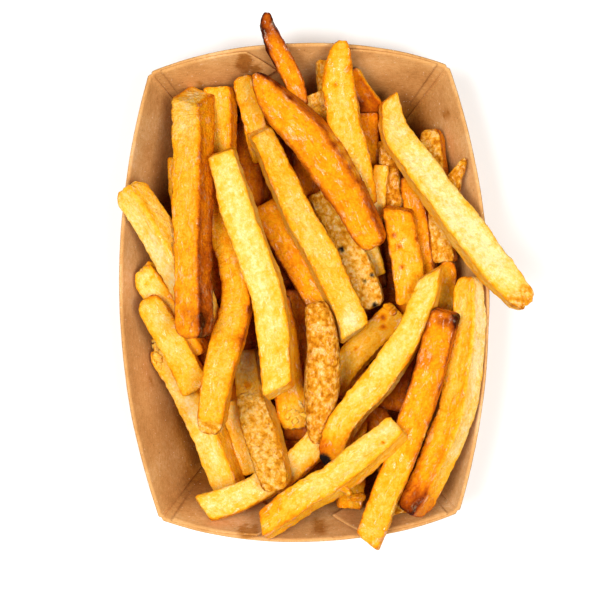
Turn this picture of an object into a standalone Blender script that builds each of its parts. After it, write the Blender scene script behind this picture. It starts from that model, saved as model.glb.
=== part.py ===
# French fries in a folded kraft-board carton.
# The carton stands at the origin on its flat base, long side along Y, +Z up.
# The fries are one heap: a low core with every fry that shows laid on it in turn.
import math

import bmesh
import bpy
import numpy as np
from mathutils import Vector
from mathutils.bvhtree import BVHTree

MM = 0.001

# Carton, in mm. The walls bow outwards between a curved base crease and a curved top edge.
BOARD = 0.6
BASE_HALF = (29.5, 48.5)        # corner of the base
BASE_BULGE = 4.5                # how far the base creases bow out
RIM_CORNER = (44.9, 66.9)
RIM_CORNER_HEIGHT = 34.0
RIM_MIDDLE = (54.6, 73.4)       # middle of the side walls in X, of the end walls in Y
RIM_MIDDLE_HEIGHT = 41.0
END_EDGE_POWER = 2.3            # the end walls' top edge is flatter in the middle than a parabola
CORNER_CUT = (0.5, 1.5)         # half width of the creased corner strip, at the base and at the rim
WALLS = ("right", "top", "left", "bottom")
COLUMNS = {"right": 12, "top": 10, "left": 12, "bottom": 10}
ROWS = 4

# Glued corner flaps inside the end walls, as shares of the half wall and of its height.
FLAP_THICK = 0.45
FLAP_BITE = 0.3                 # how deep the flap's back sits in the wall
FLAP_BASE = (0.95, 0.06)
FLAP_RIM = (0.95, 0.985)
FLAP_CUT = (0.36, 0.985)        # where the flap's cut edge leaves the wall's top edge
FLAP_TIP = (0.17, 0.73)
FLAP_STEPS = (6, 3)

# Core of the heap, in mm: what fills the carton below the fries that show.
CORE_GAP = 0.9                  # kept between the food and the board
CORE_SHOULDER = 0.22            # how far up the walls its side reaches
CORE_CROWN = ((1.0, 9.0), (0.75, 14.0), (0.4, 16.0))

# Laying, in mm.
CELL = 0.5
FIELD_HALF = 96.0
STEP = 0.4                      # spacing of the samples along a fry
SAMPLES = 33                    # samples across a fry
DEEP_SINK = 5.0                 # the deepest fries lie half in the core
REST_SINK = 1.9                 # a soft fry dents the ones under it
STEEPEST = 0.8                  # rise over run, where a short fry leans on a wall

# A fry's section is a rectangle with chamfered edges. A fry that lies flat is lower than wide.
CHAMFER = 0.18
FLAT_HEIGHT = 0.82
ROLLED_HEIGHT = 0.95
FLAT_ROLL = 20.0

# How an end narrows: distance from the end in mm against the share of the full section.
ENDS = {
    "cut": ((0.0, 0.86), (1.0, 1.0)),
    "broken": ((0.0, 0.72), (2.5, 1.0)),
    "round": ((0.0, 0.55), (1.5, 0.85), (4.5, 1.0)),
    "point": ((0.0, 0.30), (3.0, 0.62), (14.0, 1.0)),
}

# Every fry from the bottom of the heap to the top: name, its line seen from above, the widths
# along it, the roll in degrees that turns its left-hand side up, and its two ends.
DEEP_FRIES = [
    ("deep_left", ((-40, 21), (-25.5, -11)), (9,), 20, "cut", "cut"),
    ("deep_lower_left", ((-31, -12), (-16, -48)), (9.5,), -10, "cut", "cut"),
    ("deep_upper_left", ((-22.5, 53), (-26.5, -1.5)), (9.5,), 10, "cut", "cut"),
    ("deep_upper_middle", ((-13.5, 54.5), (-14.5, -5)), (9,), 25, "cut", "cut"),
    ("deep_middle", ((-1, 55.5), (2.5, -2.5)), (9,), -20, "cut", "cut"),
    ("deep_lower_cross", ((20, -31.5), (-14, -48)), (9.5,), 10, "cut", "cut"),
    ("deep_lower_right", ((13.5, -24), (28.5, -59)), (9.5,), -15, "cut", "cut"),
    ("deep_right", ((37.5, 16.5), (25.5, -36)), (9.5,), 12, "cut", "cut"),
    ("deep_upper_right", ((13.5, 55.5), (20.5, 0.5)), (9.5,), -12, "cut", "cut"),
    ("deep_lower_middle", ((-2, 1), (-2.5, -44.5)), (9,), 12, "cut", "cut"),
    ("deep_far_right", ((29.5, 49), (32.5, 12)), (8.5,), 22, "cut", "cut"),
]
MIDDLE_FRIES = [
    ("olive_left", ((-39.5, 41.5), (-38, 13.5)), (6,), 10, "cut", "cut"),
    ("gold_behind_left", ((-23, 62), (-23, 43.5), (-24, 24)), (8.5,), 12, "cut", "cut"),
    ("olive_top", ((-16.5, 65), (-11, 40)), (7,), 10, "round", "cut"),
    ("skin_sliver_top", ((8.5, 68.5), (8.5, 42.5)), (7,), 0, "cut", "cut"),
    ("pale_edge_top", ((14.5, 64.5), (22.5, 52.5), (26.5, 45)), (7.5,), 12, "cut", "cut"),
    ("skin_end_top", ((3.5, 58.5), (11, 39.5)), (7.5,), -14, "cut", "cut"),
    ("brown_short_top", ((20.5, 53), (21, 35.5)), (6.5,), 0, "cut", "cut"),
    ("brown_skin_right", ((26, 45), (28, 23.5)), (6,), 8, "cut", "cut"),
    ("pale_slim_top", ((24, 37.5), (22, 20.5)), (5,), 8, "cut", "cut"),
    ("gold_right", ((33, 34), (35, 18), (36, 2.5)), (7,), 16, "cut", "cut"),
    ("orange_right", ((39, 48), (40.5, 29.5), (42, 8)), (7,), 14, "round", "cut"),
    ("skin_tip_right", ((48.5, 38.5), (45, 31.5), (42, 25.5)), (5, 6.5), 10, "point", "cut"),
    ("dark_short_right", ((42.5, 8), (42.5, -10.5)), (5.5,), 0, "round", "cut"),
    ("orange_low_centre", ((-9, -1.5), (-6.5, -15.5), (-5, -29), (-3.5, -40.5)), (9.5,), 0, "cut", "broken"),
    ("orange_centre", ((-11.5, 27), (-4, 13), (6.5, -5)), (9.5,), 0, "cut", "cut"),
    ("pale_stub", ((19, 15.5), (22, 4.5)), (6,), 0, "cut", "cut"),
    ("spotted_skin_centre", ((5.5, 30.5), (14, 12.5), (21, -5)), (9,), 0, "cut", "round"),
    ("speckled_gold_right", ((28.5, 24.5), (30.5, 12), (32, -4)), (9.5,), 8, "cut", "cut"),
    ("gold_cross_low", ((28.5, -6.5), (19, -15), (11.5, -24), (7.5, -30.5)), (8.5,), 12, "cut", "cut"),
    ("gold_low_left", ((-22.5, -32), (-15, -53.5)), (9,), 10, "cut", "cut"),
    ("pale_left_low", ((-43, -15), (-35.5, -28), (-29.5, -41.5), (-23.5, -58.5)), (8.5,), 25, "broken", "cut"),
    ("pale_left_middle", ((-46.5, 6.5), (-40.5, -3.5), (-31.5, -20)), (8, 9), 16, "cut", "cut"),
    ("gold_left_middle", ((-46, -1), (-41, -10.5), (-31.5, -28.5)), (8, 9.5), 4, "round", "cut"),
    ("pale_left_top", ((-51, 32), (-43, 19), (-34.5, 4), (-28.5, -11)), (8, 9.5, 9.5), 42, "round", "cut"),
    ("small_end_low", ((14.5, -38), (12, -64.5)), (8,), 0, "cut", "cut"),
    ("skin_low_right", ((23.5, -47.5), (27, -66)), (7.5,), 0, "cut", "cut"),
    ("pale_right_low", ((48.5, 3.5), (48, -12), (46, -27), (42, -41.5), (36, -54.5), (29.5, -66)),
     (7, 9, 9, 8), 35, "round", "round"),
]
TOP_FRIES = [
    ("dark_curled_top", ((-9, 82), (-9, 78), (-7, 73), (-4.5, 68), (-2, 63), (0, 55)),
     (3.5, 5.5, 6, 6), 0, "round", "cut"),
    ("gold_top", ((13, 73.5), (11.5, 63.5), (12.5, 55), (14, 46), (19, 25.5)),
     (9.5, 9.5, 10.5, 10.5, 7.5), 34, "point", "cut"),
    ("gold_centre", ((-13, 48.5), (-1, 21.5), (10.5, -2.5), (14, -13)), (7.5, 9, 9), -30, "cut", "cut"),
    ("orange_diagonal", ((-13, 64.5), (-5.5, 54.5), (4, 44), (13, 29.5), (21.5, 13)),
     (9, 11, 12.5, 11, 9), 14, "round", "round"),
    ("pale_low_left", ((10.5, -34.5), (5.5, -42), (-2.5, -50), (-12, -56), (-21, -60.5), (-31.5, -63.5)),
     (8.5,), 10, "cut", "round"),
    ("spotted_skin", ((-18, -17), (-17, -26.5), (-15.5, -34.5), (-12.5, -43.5), (-9, -58)),
     (7, 8, 10.5, 10.5, 9), 14, "cut", "round"),
    ("bent_left", ((-27, 32.5), (-24.5, 20), (-20.5, 6.5), (-20, -4), (-23.5, -15.5), (-26.5, -28.5),
                   (-28.5, -40.5)), (6.5, 7.5, 8, 9, 9.5, 9, 7.5), 10, "cut", "round"),
    ("long_brown", ((-31.5, 62), (-32, 40), (-32.5, 16), (-32, -12.5)), (10, 10, 9, 9), 30, "cut", "round"),
    ("pale_centre", ((-23.5, 42), (-17.5, 21), (-11, 1.5), (-9, -13.5), (-8, -29)),
     (8.5, 9.5, 10, 10, 9), 8, "cut", "cut"),
    ("skin_spindle", ((3, -3), (4.5, -11), (5, -20), (4.5, -27.5), (3.5, -35.5), (2.5, -45)),
     (7, 8.5, 10, 9.5, 8), 0, "round", "point"),
    ("pale_gold_right", ((37, 5), (35, -4), (29.5, -15), (22.5, -25), (15, -33.5), (10, -40.5), (6, -51.5)),
     (6.5, 7.5, 9, 9, 8.5, 8.5, 7), 15, "round", "round"),
    ("overhang_low", ((41.5, -6.5), (38.5, -16), (35, -27), (30.5, -39.5), (26, -52.5), (21, -63.5),
                      (16, -75.5)), (8, 9, 9.5, 9.5, 8.5, 8.5, 7.5), 8, "cut", "cut"),
    ("front_pale", ((26.5, -39.5), (21.5, -44), (9.5, -54), (-1, -60), (-14, -69)),
     (7, 8.5, 8.5, 8.5, 7.5), 26, "cut", "cut"),
    ("pale_right", ((26.5, 57.5), (28, 47.5), (33.5, 38), (40.5, 27.5), (49, 15), (55, 6.5), (64.5, -5)),
     (6, 8.5, 9.5, 10, 10.5, 10, 7.5), -10, "round", "broken"),
]


def clear_scene():
    for obj in list(bpy.data.objects):
        bpy.data.objects.remove(obj, do_unlink=True)


def material(name, colour, roughness):
    """A plain Principled material; the colour is linear RGB."""
    result = bpy.data.materials.new(name)
    result.use_nodes = True
    shader = result.node_tree.nodes["Principled BSDF"]
    shader.inputs["Base Color"].default_value = (*colour, 1.0)
    shader.inputs["Roughness"].default_value = roughness
    shader.inputs["Metallic"].default_value = 0.0
    return result


def new_object(name, vertices, faces, finish):
    """An object from points in mm."""
    mesh = bpy.data.meshes.new(name)
    mesh.from_pydata([Vector(point) * MM for point in vertices], [], faces)
    mesh.materials.append(finish)
    obj = bpy.data.objects.new(name, mesh)
    bpy.context.scene.collection.objects.link(obj)
    return obj


def wall_point(wall, across, up):
    """A point on a wall's outer face: across runs -1 to 1 counter-clockwise, up 0 to 1."""
    cut = CORNER_CUT[0] + (CORNER_CUT[1] - CORNER_CUT[0]) * up
    rise = RIM_CORNER_HEIGHT + (RIM_MIDDLE_HEIGHT - RIM_CORNER_HEIGHT) * (1.0 - across**2)
    side = 1.0 if wall in ("right", "top") else -1.0
    if wall in ("right", "left"):
        base_out = BASE_HALF[0] + BASE_BULGE * (1.0 - across**2)
        rim_out = RIM_CORNER[0] + (RIM_MIDDLE[0] - RIM_CORNER[0]) * (1.0 - across**2)
        along = BASE_HALF[1] + (RIM_CORNER[1] - BASE_HALF[1]) * up - cut
        out = base_out + (rim_out - base_out) * up
        return Vector((side * out, side * across * along, rise * up))
    base_out = BASE_HALF[1] + BASE_BULGE * (1.0 - across**2)
    rim_out = RIM_CORNER[1] + (RIM_MIDDLE[1] - RIM_CORNER[1]) * (1.0 - abs(across)**END_EDGE_POWER)
    along = BASE_HALF[0] + (RIM_CORNER[0] - BASE_HALF[0]) * up - cut
    out = base_out + (rim_out - base_out) * up
    return Vector((-side * across * along, side * out, rise * up))


def wall_normal(wall, across, up):
    step = 0.01
    sideways = wall_point(wall, across + step, up) - wall_point(wall, across - step, up)
    upwards = wall_point(wall, across, up + step) - wall_point(wall, across, up - step)
    return sideways.cross(upwards).normalized()


def columns():
    """The wall and the place across it of every column round the carton."""
    for wall in WALLS:
        count = COLUMNS[wall]
        for index in range(count + 1):
            yield wall, -1.0 + 2.0 * index / count


def apply_modifiers(obj):
    """Replaces the object's mesh by its evaluated one and drops the modifiers."""
    shape = bpy.data.meshes.new_from_object(obj.evaluated_get(bpy.context.evaluated_depsgraph_get()))
    obj.modifiers.clear()
    obj.data = shape


def flap(name, wall, mirror, finish):
    """A glued corner flap: a thin plate that follows the inside of an end wall."""
    steps_along, steps_up = FLAP_STEPS
    vertices = []
    for depth in (BOARD - FLAP_BITE, BOARD + FLAP_THICK):
        for i in range(steps_along + 1):
            share = i / steps_along
            low = [a + (b - a) * share for a, b in zip(FLAP_BASE, FLAP_TIP)]
            high = [a + (b - a) * share for a, b in zip(FLAP_RIM, FLAP_CUT)]
            for j in range(steps_up + 1):
                across, up = [a + (b - a) * j / steps_up for a, b in zip(low, high)]
                point = wall_point(wall, mirror * across, up)
                vertices.append(point - wall_normal(wall, mirror * across, up) * depth)
    faces = []
    layer = (steps_along + 1) * (steps_up + 1)
    row = steps_up + 1
    for i in range(steps_along):
        for j in range(steps_up):
            a = i * row + j
            faces.append((a, a + 1, a + row + 1, a + row))
            faces.append((layer + a, layer + a + row, layer + a + row + 1, layer + a + 1))
    for i in range(steps_along):
        for a, b in ((i * row, (i + 1) * row), ((i + 1) * row + steps_up, i * row + steps_up)):
            faces.append((a, b, layer + b, layer + a))
    for j in range(steps_up):
        last = steps_along * row
        for a, b in ((last + j, last + j + 1), (j + 1, j)):
            faces.append((a, b, layer + b, layer + a))
    obj = new_object(name, vertices, faces, finish)
    face_out(obj)
    return obj


def face_out(obj):
    """Turns every face of a closed mesh outwards."""
    shape = bmesh.new()
    shape.from_mesh(obj.data)
    bmesh.ops.recalc_face_normals(shape, faces=shape.faces)
    if shape.calc_volume(signed=True) < 0.0:
        bmesh.ops.reverse_faces(shape, faces=shape.faces)
    shape.to_mesh(obj.data)
    shape.free()


def carton(finish):
    """One folded sheet: base, four bowed walls and the four flaps glued inside the end walls."""
    places = list(columns())
    count = len(places)
    vertices = [wall_point(wall, across, row / ROWS) for row in range(ROWS + 1) for wall, across in places]
    faces = [tuple(reversed(range(count)))]
    for row in range(ROWS):
        for index in range(count):
            following = (index + 1) % count
            faces.append((row * count + index, row * count + following,
                          (row + 1) * count + following, (row + 1) * count + index))
    tray = new_object("carton", vertices, faces, finish)
    sheet = tray.modifiers.new("board", "SOLIDIFY")
    sheet.thickness = BOARD * MM
    sheet.offset = -1.0
    sheet.use_even_offset = True
    flaps = bpy.data.collections.new("flaps")
    bpy.context.scene.collection.children.link(flaps)
    for wall in ("top", "bottom"):
        for mirror in (-1.0, 1.0):
            plate = flap(f"flap_{wall}_{'a' if mirror < 0 else 'b'}", wall, mirror, finish)
            bpy.context.scene.collection.objects.unlink(plate)
            flaps.objects.link(plate)
    join(tray, flaps, "EXACT")
    return tray


def join(target, pieces, solver):
    """One Boolean union of a collection with the target; the collection is then removed."""
    union = target.modifiers.new("union", "BOOLEAN")
    union.operation = "UNION"
    union.operand_type = "COLLECTION"
    union.collection = pieces
    union.solver = solver
    apply_modifiers(target)
    for obj in list(pieces.objects):
        bpy.data.objects.remove(obj, do_unlink=True)
    bpy.data.collections.remove(pieces)


def core(finish):
    """The hidden middle of the heap: it follows the base and the walls, then domes."""
    places = list(columns())
    count = len(places)
    inset = BOARD + CORE_GAP
    low = inset / RIM_CORNER_HEIGHT
    rings = []
    for up in (low, CORE_SHOULDER):
        rings.append([wall_point(wall, across, up) - wall_normal(wall, across, up) * (inset + FLAP_THICK)
                      for wall, across in places])
    for point in rings[0]:
        point.z = inset
    shoulder = rings[-1]
    for share, height in CORE_CROWN:
        rings.append([Vector((point.x * share, point.y * share, height)) for point in shoulder])
    rings.pop(1)
    vertices = [point for ring in rings for point in ring]
    faces = [tuple(reversed(range(count)))]
    for ring in range(len(rings) - 1):
        for index in range(count):
            following = (index + 1) % count
            faces.append((ring * count + index, ring * count + following,
                          (ring + 1) * count + following, (ring + 1) * count + index))
    last = (len(rings) - 1) * count
    faces.append(tuple(range(last, last + count)))
    obj = new_object("fries", vertices, faces, finish)
    face_out(obj)
    return obj


def height_field(obj, margin):
    """The height of an object's top at every cell, raised by margin and spread by one cell."""
    tree = BVHTree.FromObject(obj, bpy.context.evaluated_depsgraph_get())
    size = int(2 * FIELD_HALF / CELL) + 1
    field = np.full((size, size), -1000.0)
    high = Vector((0.0, 0.0, 1.0))
    down = Vector((0.0, 0.0, -1.0))
    for i in range(size):
        high.x = (i * CELL - FIELD_HALF) * MM
        for j in range(size):
            high.y = (j * CELL - FIELD_HALF) * MM
            hit = tree.ray_cast(high, down)[0]
            if hit is not None:
                field[i, j] = hit.z / MM + margin
    spread = field.copy()
    for shift in ((0, 1), (0, -1), (1, 0), (-1, 0)):
        spread = np.maximum(spread, np.roll(field, shift, (0, 1)))
    return spread


def cell_of(values):
    return np.round((values + FIELD_HALF) / CELL).astype(int)


def fry_section(roll):
    """The eight corners of a unit section, (sideways, up), turned by the roll."""
    height = FLAT_HEIGHT if abs(roll) < FLAT_ROLL else ROLLED_HEIGHT
    half = (0.5, 0.5 * height)
    outline = []
    for x, y in ((1, 1), (-1, 1), (-1, -1), (1, -1)):
        near_side = (x * half[0], y * (half[1] - CHAMFER))
        near_top = (x * (half[0] - CHAMFER), y * half[1])
        outline += [near_side, near_top] if x * y > 0 else [near_top, near_side]
    angle = math.radians(roll)
    turn = np.array(((math.cos(angle), -math.sin(angle)), (math.sin(angle), math.cos(angle))))
    return np.array(outline) @ turn.T


def section_reach(outline, sideways):
    """The lowest and highest point of a section at each place across it."""
    low = np.full(sideways.shape, np.inf)
    high = np.full(sideways.shape, -np.inf)
    for start, end in zip(outline, np.roll(outline, -1, axis=0)):
        if start[0] > end[0]:
            start, end = end, start
        if end[0] - start[0] < 1e-9:
            continue
        inside = (sideways >= start[0] - 1e-9) & (sideways <= end[0] + 1e-9)
        height = start[1] + (sideways - start[0]) / (end[0] - start[0]) * (end[1] - start[1])
        low[inside] = np.minimum(low[inside], height[inside])
        high[inside] = np.maximum(high[inside], height[inside])
    return low, high


def smooth_line(points):
    """A smooth line through the points: evenly spaced places and their distance from the start."""
    line = np.array(points, float)
    if len(line) > 2:
        padded = np.vstack([2 * line[0] - line[1], line, 2 * line[-1] - line[-2]])
        shares = np.linspace(0.0, 1.0, 30, endpoint=False)[:, None]
        parts = []
        for a, b, c, d in zip(padded, padded[1:], padded[2:], padded[3:]):
            parts.append(0.5 * (2 * b + (c - a) * shares + (2 * a - 5 * b + 4 * c - d) * shares**2
                                + (3 * b - a - 3 * c + d) * shares**3))
        line = np.vstack(parts + [line[-1:]])
    reach = np.concatenate([[0.0], np.cumsum(np.hypot(*np.diff(line, axis=0).T))])
    spaced = np.linspace(0.0, reach[-1], int(reach[-1] / STEP) + 1)
    return np.stack([np.interp(spaced, reach, line[:, axis]) for axis in (0, 1)], -1), spaced


def rest_line(places, heights):
    """The straight line that a stiff fry takes on the heights below it: level and slope."""
    hull = []
    for x, y in zip(places, heights):
        while len(hull) > 1:
            (x1, y1), (x2, y2) = hull[-2:]
            if (x2 - x1) * (y - y1) - (y2 - y1) * (x - x1) < 0.0:
                break
            hull.pop()
        hull.append((x, y))
    middle = places[-1] / 2
    for (x1, y1), (x2, y2) in zip(hull, hull[1:]):
        if x1 <= middle <= x2:
            slope = (y2 - y1) / (x2 - x1)
            slope = max(-STEEPEST, min(STEEPEST, slope))
            return (heights - slope * places).max(), slope
    return heights.max(), 0.0


def lay(row, sink, board, heap):
    """Lays one fry on the board and the heap, raises the heap by it, and returns its shape."""
    name, points, widths, roll, start_end, far_end = row
    line, places = smooth_line(points)
    forward = np.gradient(line, axis=0)
    forward /= np.linalg.norm(forward, axis=1)[:, None]
    left = np.stack([-forward[:, 1], forward[:, 0]], -1)
    width = np.interp(places, np.linspace(0.0, places[-1], len(widths)), widths)
    width *= np.minimum(np.interp(places, *zip(*ENDS[start_end])),
                        np.interp(places[-1] - places, *zip(*ENDS[far_end])))
    outline = fry_section(roll)
    sideways = np.linspace(outline[:, 0].min(), outline[:, 0].max(), SAMPLES)
    low, high = section_reach(outline, sideways)
    across = sideways[None, :] * width[:, None]
    i = cell_of(line[:, 0, None] + left[:, 0, None] * across)
    j = cell_of(line[:, 1, None] + left[:, 1, None] * across)
    needed = np.maximum(board[i, j], heap[i, j] - sink) - low[None, :] * width[:, None]
    level, slope = rest_line(places, needed.max(axis=1))
    height = level + slope * places
    np.maximum.at(heap, (i, j), height[:, None] + high[None, :] * width[:, None])
    return {"name": name, "line": line, "left": left, "places": places, "height": height,
            "width": width, "outline": outline, "ends": (start_end, far_end), "straight": len(points) < 3}


def stations(laid):
    """Where a fry has its rings: at the ends' bends, and between them as far as it curves."""
    length = laid["places"][-1]
    first = [distance for distance, share in ENDS[laid["ends"][0]]]
    last = [length - distance for distance, share in reversed(ENDS[laid["ends"][1]])]
    middle = 0 if laid["straight"] else max(1, round(length / 15.0) - 1)
    gap = last[0] - first[-1]
    return first + [first[-1] + gap * (n + 1) / (middle + 1) for n in range(middle)] + last


def fry(laid, finish):
    """One fry as a closed tube of eight sides, from its laid line."""
    vertices = []
    rings = stations(laid)
    for place in rings:
        at = [np.interp(place, laid["places"], laid["line"][:, axis]) for axis in (0, 1)]
        side = [np.interp(place, laid["places"], laid["left"][:, axis]) for axis in (0, 1)]
        height = np.interp(place, laid["places"], laid["height"])
        width = np.interp(place, laid["places"], laid["width"])
        for across, up in laid["outline"] * width:
            vertices.append((at[0] + side[0] * across, at[1] + side[1] * across, height + up))
    sides = len(laid["outline"])
    faces = [tuple(reversed(range(sides))), tuple(range((len(rings) - 1) * sides, len(rings) * sides))]
    for ring in range(len(rings) - 1):
        for index in range(sides):
            following = (index + 1) % sides
            faces.append((ring * sides + index, ring * sides + following,
                          (ring + 1) * sides + following, (ring + 1) * sides + index))
    obj = new_object(laid["name"], vertices, faces, finish)
    face_out(obj)
    return obj


def keep_outer_skin(obj):
    """Drops the walls of sealed hollows and loose scraps, so that one outer skin is left."""
    shape = bmesh.new()
    shape.from_mesh(obj.data)
    unseen = set(shape.faces)
    groups = []
    while unseen:
        group = [unseen.pop()]
        for face in group:
            for edge in face.edges:
                for other in edge.link_faces:
                    if other in unseen:
                        unseen.remove(other)
                        group.append(other)
        groups.append(group)
    groups.sort(key=len)
    loose = [face for group in groups[:-1] for face in group]
    bmesh.ops.delete(shape, geom=loose, context="FACES")
    bmesh.ops.dissolve_degenerate(shape, dist=1e-6, edges=shape.edges)
    bmesh.ops.triangulate(shape, faces=shape.faces)
    shape.to_mesh(obj.data)
    shape.free()


def heap_of_fries(tray, finish):
    """The fries: the core with each fry laid in turn, fused into one solid."""
    heap_solid = core(finish)
    board = height_field(tray, CORE_GAP)
    heap = height_field(heap_solid, 0.0)
    pieces = bpy.data.collections.new("pieces")
    bpy.context.scene.collection.children.link(pieces)
    rows = [(row, DEEP_SINK) for row in DEEP_FRIES] + [(row, REST_SINK) for row in MIDDLE_FRIES + TOP_FRIES]
    for row, sink in rows:
        piece = fry(lay(row, sink, board, heap), finish)
        bpy.context.scene.collection.objects.unlink(piece)
        pieces.objects.link(piece)
    # EXACT leaves open edges where this many fries cross, MANIFOLD doesn't.
    join(heap_solid, pieces, "MANIFOLD")
    keep_outer_skin(heap_solid)
    return heap_solid


clear_scene()
kraft_board = material("kraft_board", (0.58, 0.32, 0.12), 0.85)
fried_potato = material("fried_potato", (0.87, 0.48, 0.06), 0.45)
tray_object = carton(kraft_board)
heap_of_fries(tray_object, fried_potato)
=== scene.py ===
import itertools
import math

import bpy
import numpy as np
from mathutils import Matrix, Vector
from mathutils.bvhtree import BVHTree


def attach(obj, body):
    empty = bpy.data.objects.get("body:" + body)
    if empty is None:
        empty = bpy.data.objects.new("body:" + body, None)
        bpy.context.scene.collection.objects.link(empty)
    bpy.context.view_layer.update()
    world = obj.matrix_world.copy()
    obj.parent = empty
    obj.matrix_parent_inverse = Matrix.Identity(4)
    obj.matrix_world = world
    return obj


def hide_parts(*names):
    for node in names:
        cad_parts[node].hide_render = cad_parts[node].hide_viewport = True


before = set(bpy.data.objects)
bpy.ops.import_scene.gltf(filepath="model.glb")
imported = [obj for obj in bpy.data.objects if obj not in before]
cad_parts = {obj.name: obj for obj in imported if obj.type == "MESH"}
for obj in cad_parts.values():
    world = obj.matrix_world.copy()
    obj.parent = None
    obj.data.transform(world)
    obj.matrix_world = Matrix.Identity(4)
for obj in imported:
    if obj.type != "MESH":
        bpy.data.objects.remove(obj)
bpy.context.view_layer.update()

# The camera
# It looks straight down on the tray, as the photograph does, from far enough away that the walls
# spread only a little. It is turned by the slight tilt that the tray has in the picture.
TOP_EDGE = 0.040
CAMERA_ABOVE_EDGE = 0.800
VIEW_WIDTH = 0.177
CAMERA_PLACE = (-0.0013, -0.0022)
TRAY_TILT = 1.334

camera_data = bpy.data.cameras.new("camera")
camera_data.sensor_width = 36.0
camera_data.lens = camera_data.sensor_width * CAMERA_ABOVE_EDGE / VIEW_WIDTH
camera = bpy.data.objects.new("camera", camera_data)
camera.location = (*CAMERA_PLACE, TOP_EDGE + CAMERA_ABOVE_EDGE)
camera.rotation_euler = (0.0, 0.0, -math.radians(TRAY_TILT))
bpy.context.scene.collection.objects.link(camera)
bpy.context.scene.camera = camera

# The carton
# A food tray folded from one die-cut sheet of brown kraft board, 0.6 mm thick. The walls bow out
# between their creases, and the side walls' ends are folded round as flaps and glued inside the end
# walls. The sizes are in mm.
MM = 0.001
BOARD = 0.6
BASE_HALF = (29.5, 48.5)
BASE_BULGE = 4.5
RIM_CORNER = (44.9, 66.9)
RIM_CORNER_HEIGHT = 34.0
RIM_MIDDLE = (54.6, 73.4)
RIM_MIDDLE_HEIGHT = 41.0
END_EDGE_POWER = 2.3
CORNER_CUT = (0.5, 1.5)
WALLS = ("right", "top", "left", "bottom")
FINE_COLUMNS = {"right": 52, "top": 44, "left": 52, "bottom": 44}
FINE_ROWS = 30
CREASE_COLUMNS = 10
CREASE_HEIGHT = 0.38            # how far the pressed line at a corner stands in
CREASE_WIDTH = 0.42
BASE_RINGS = (0.25, 0.5, 0.75, 0.93)
FLAP_THICK = 0.45
FLAP_LIFT = 0.55                # how far a flap's free edge stands off its wall
FLAP_BASE = (0.95, 0.06)
FLAP_RIM = (0.95, 0.995)
FLAP_CUT = (0.36, 0.985)
FLAP_TIP = (0.17, 0.73)
FLAP_STEPS = (36, 20)
SWAY = 0.28                     # how far the board waves, over SWAY_SIZE mm
SWAY_SIZE = 24.0
RIPPLE = 0.07
RIPPLE_SIZE = 7.0
OIL_AND_SHADE_START = 7.5                # how far below the top edge's middle the oil and the painted shade begin, and then their full depth
OIL_AND_SHADE_REACH = 19.0
# Drops of oil on the board; the one at the bottom middle, at (3.0, -69.4), is partly painted shade below the
# front fries.
GREASE_AND_SHADE_STAINS = ((-16.0, 68.5, 2.6), (-13.0, 66.5, 1.8), (-19.0, -70.8, 2.4), (-16.5, -70.4, 1.8),
                 (3.0, -69.4, 2.6), (44.0, 52.0, 1.4), (-47.0, -25.0, 1.2), (-36.0, -55.0, 1.5),
                 (-30.0, 63.0, 1.3))
FIBRE_LENGTH = 2.4
FIBRE_WIDTH = 0.32              # real fibres are ten times finer; drawn as coarse as the picture needs


def wall_point(wall, across, up):
    """A point on a wall's outer face: across runs -1 to 1 counter-clockwise, up 0 to 1."""
    cut = CORNER_CUT[0] + (CORNER_CUT[1] - CORNER_CUT[0]) * up
    rise = RIM_CORNER_HEIGHT + (RIM_MIDDLE_HEIGHT - RIM_CORNER_HEIGHT) * (1.0 - across**2)
    side = 1.0 if wall in ("right", "top") else -1.0
    if wall in ("right", "left"):
        base_out = BASE_HALF[0] + BASE_BULGE * (1.0 - across**2)
        rim_out = RIM_CORNER[0] + (RIM_MIDDLE[0] - RIM_CORNER[0]) * (1.0 - across**2)
        along = BASE_HALF[1] + (RIM_CORNER[1] - BASE_HALF[1]) * up - cut
        out = base_out + (rim_out - base_out) * up
        return Vector((side * out, side * across * along, rise * up))
    base_out = BASE_HALF[1] + BASE_BULGE * (1.0 - across**2)
    rim_out = RIM_CORNER[1] + (RIM_MIDDLE[1] - RIM_CORNER[1]) * (1.0 - abs(across)**END_EDGE_POWER)
    along = BASE_HALF[0] + (RIM_CORNER[0] - BASE_HALF[0]) * up - cut
    out = base_out + (rim_out - base_out) * up
    return Vector((-side * across * along, side * out, rise * up))


def wall_normal(wall, across, up):
    step = 0.01
    sideways = wall_point(wall, across + step, up) - wall_point(wall, across - step, up)
    upwards = wall_point(wall, across, up + step) - wall_point(wall, across, up - step)
    return sideways.cross(upwards).normalized()


def scatter(place):
    """A fixed random number from 0 to 1023 for each whole-number place in space."""
    mixed = (place[:, 0] * 73856093) ^ (place[:, 1] * 19349663) ^ (place[:, 2] * 83492791)
    return (mixed ^ (mixed >> 13)) & 1023


def drift(points, size, seed):
    """Smooth random values from about -1 to 1 that change over `size` mm, at points in mm."""
    slopes = np.random.default_rng(seed).normal(size=(1024, 3))
    slopes /= np.linalg.norm(slopes, axis=1)[:, None]
    scaled = points / size
    cell = np.floor(scaled).astype(np.int64)
    inside = scaled - cell
    fade = inside**3 * (inside * (inside * 6.0 - 15.0) + 10.0)
    total = np.zeros(len(points))
    for corner in itertools.product((0, 1), repeat=3):
        weight = np.where(corner, fade, 1.0 - fade).prod(axis=1)
        total += weight * (slopes[scatter(cell + corner)] * (inside - corner)).sum(axis=1)
    return total * 1.6


def loft(rings, around):
    """Faces of a closed skin through rings of points, with one point at its start and its end."""
    faces = []
    for ring in range(rings - 1):
        a = 1 + ring * around
        for index in range(around):
            following = (index + 1) % around
            faces.append((a + index, a + following, a + around + following, a + around + index))
    last = 1 + (rings - 1) * around
    for index in range(around):
        following = (index + 1) % around
        faces.append((0, 1 + following, 1 + index))
        faces.append((last + around, last + index, last + following))
    return faces


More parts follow.
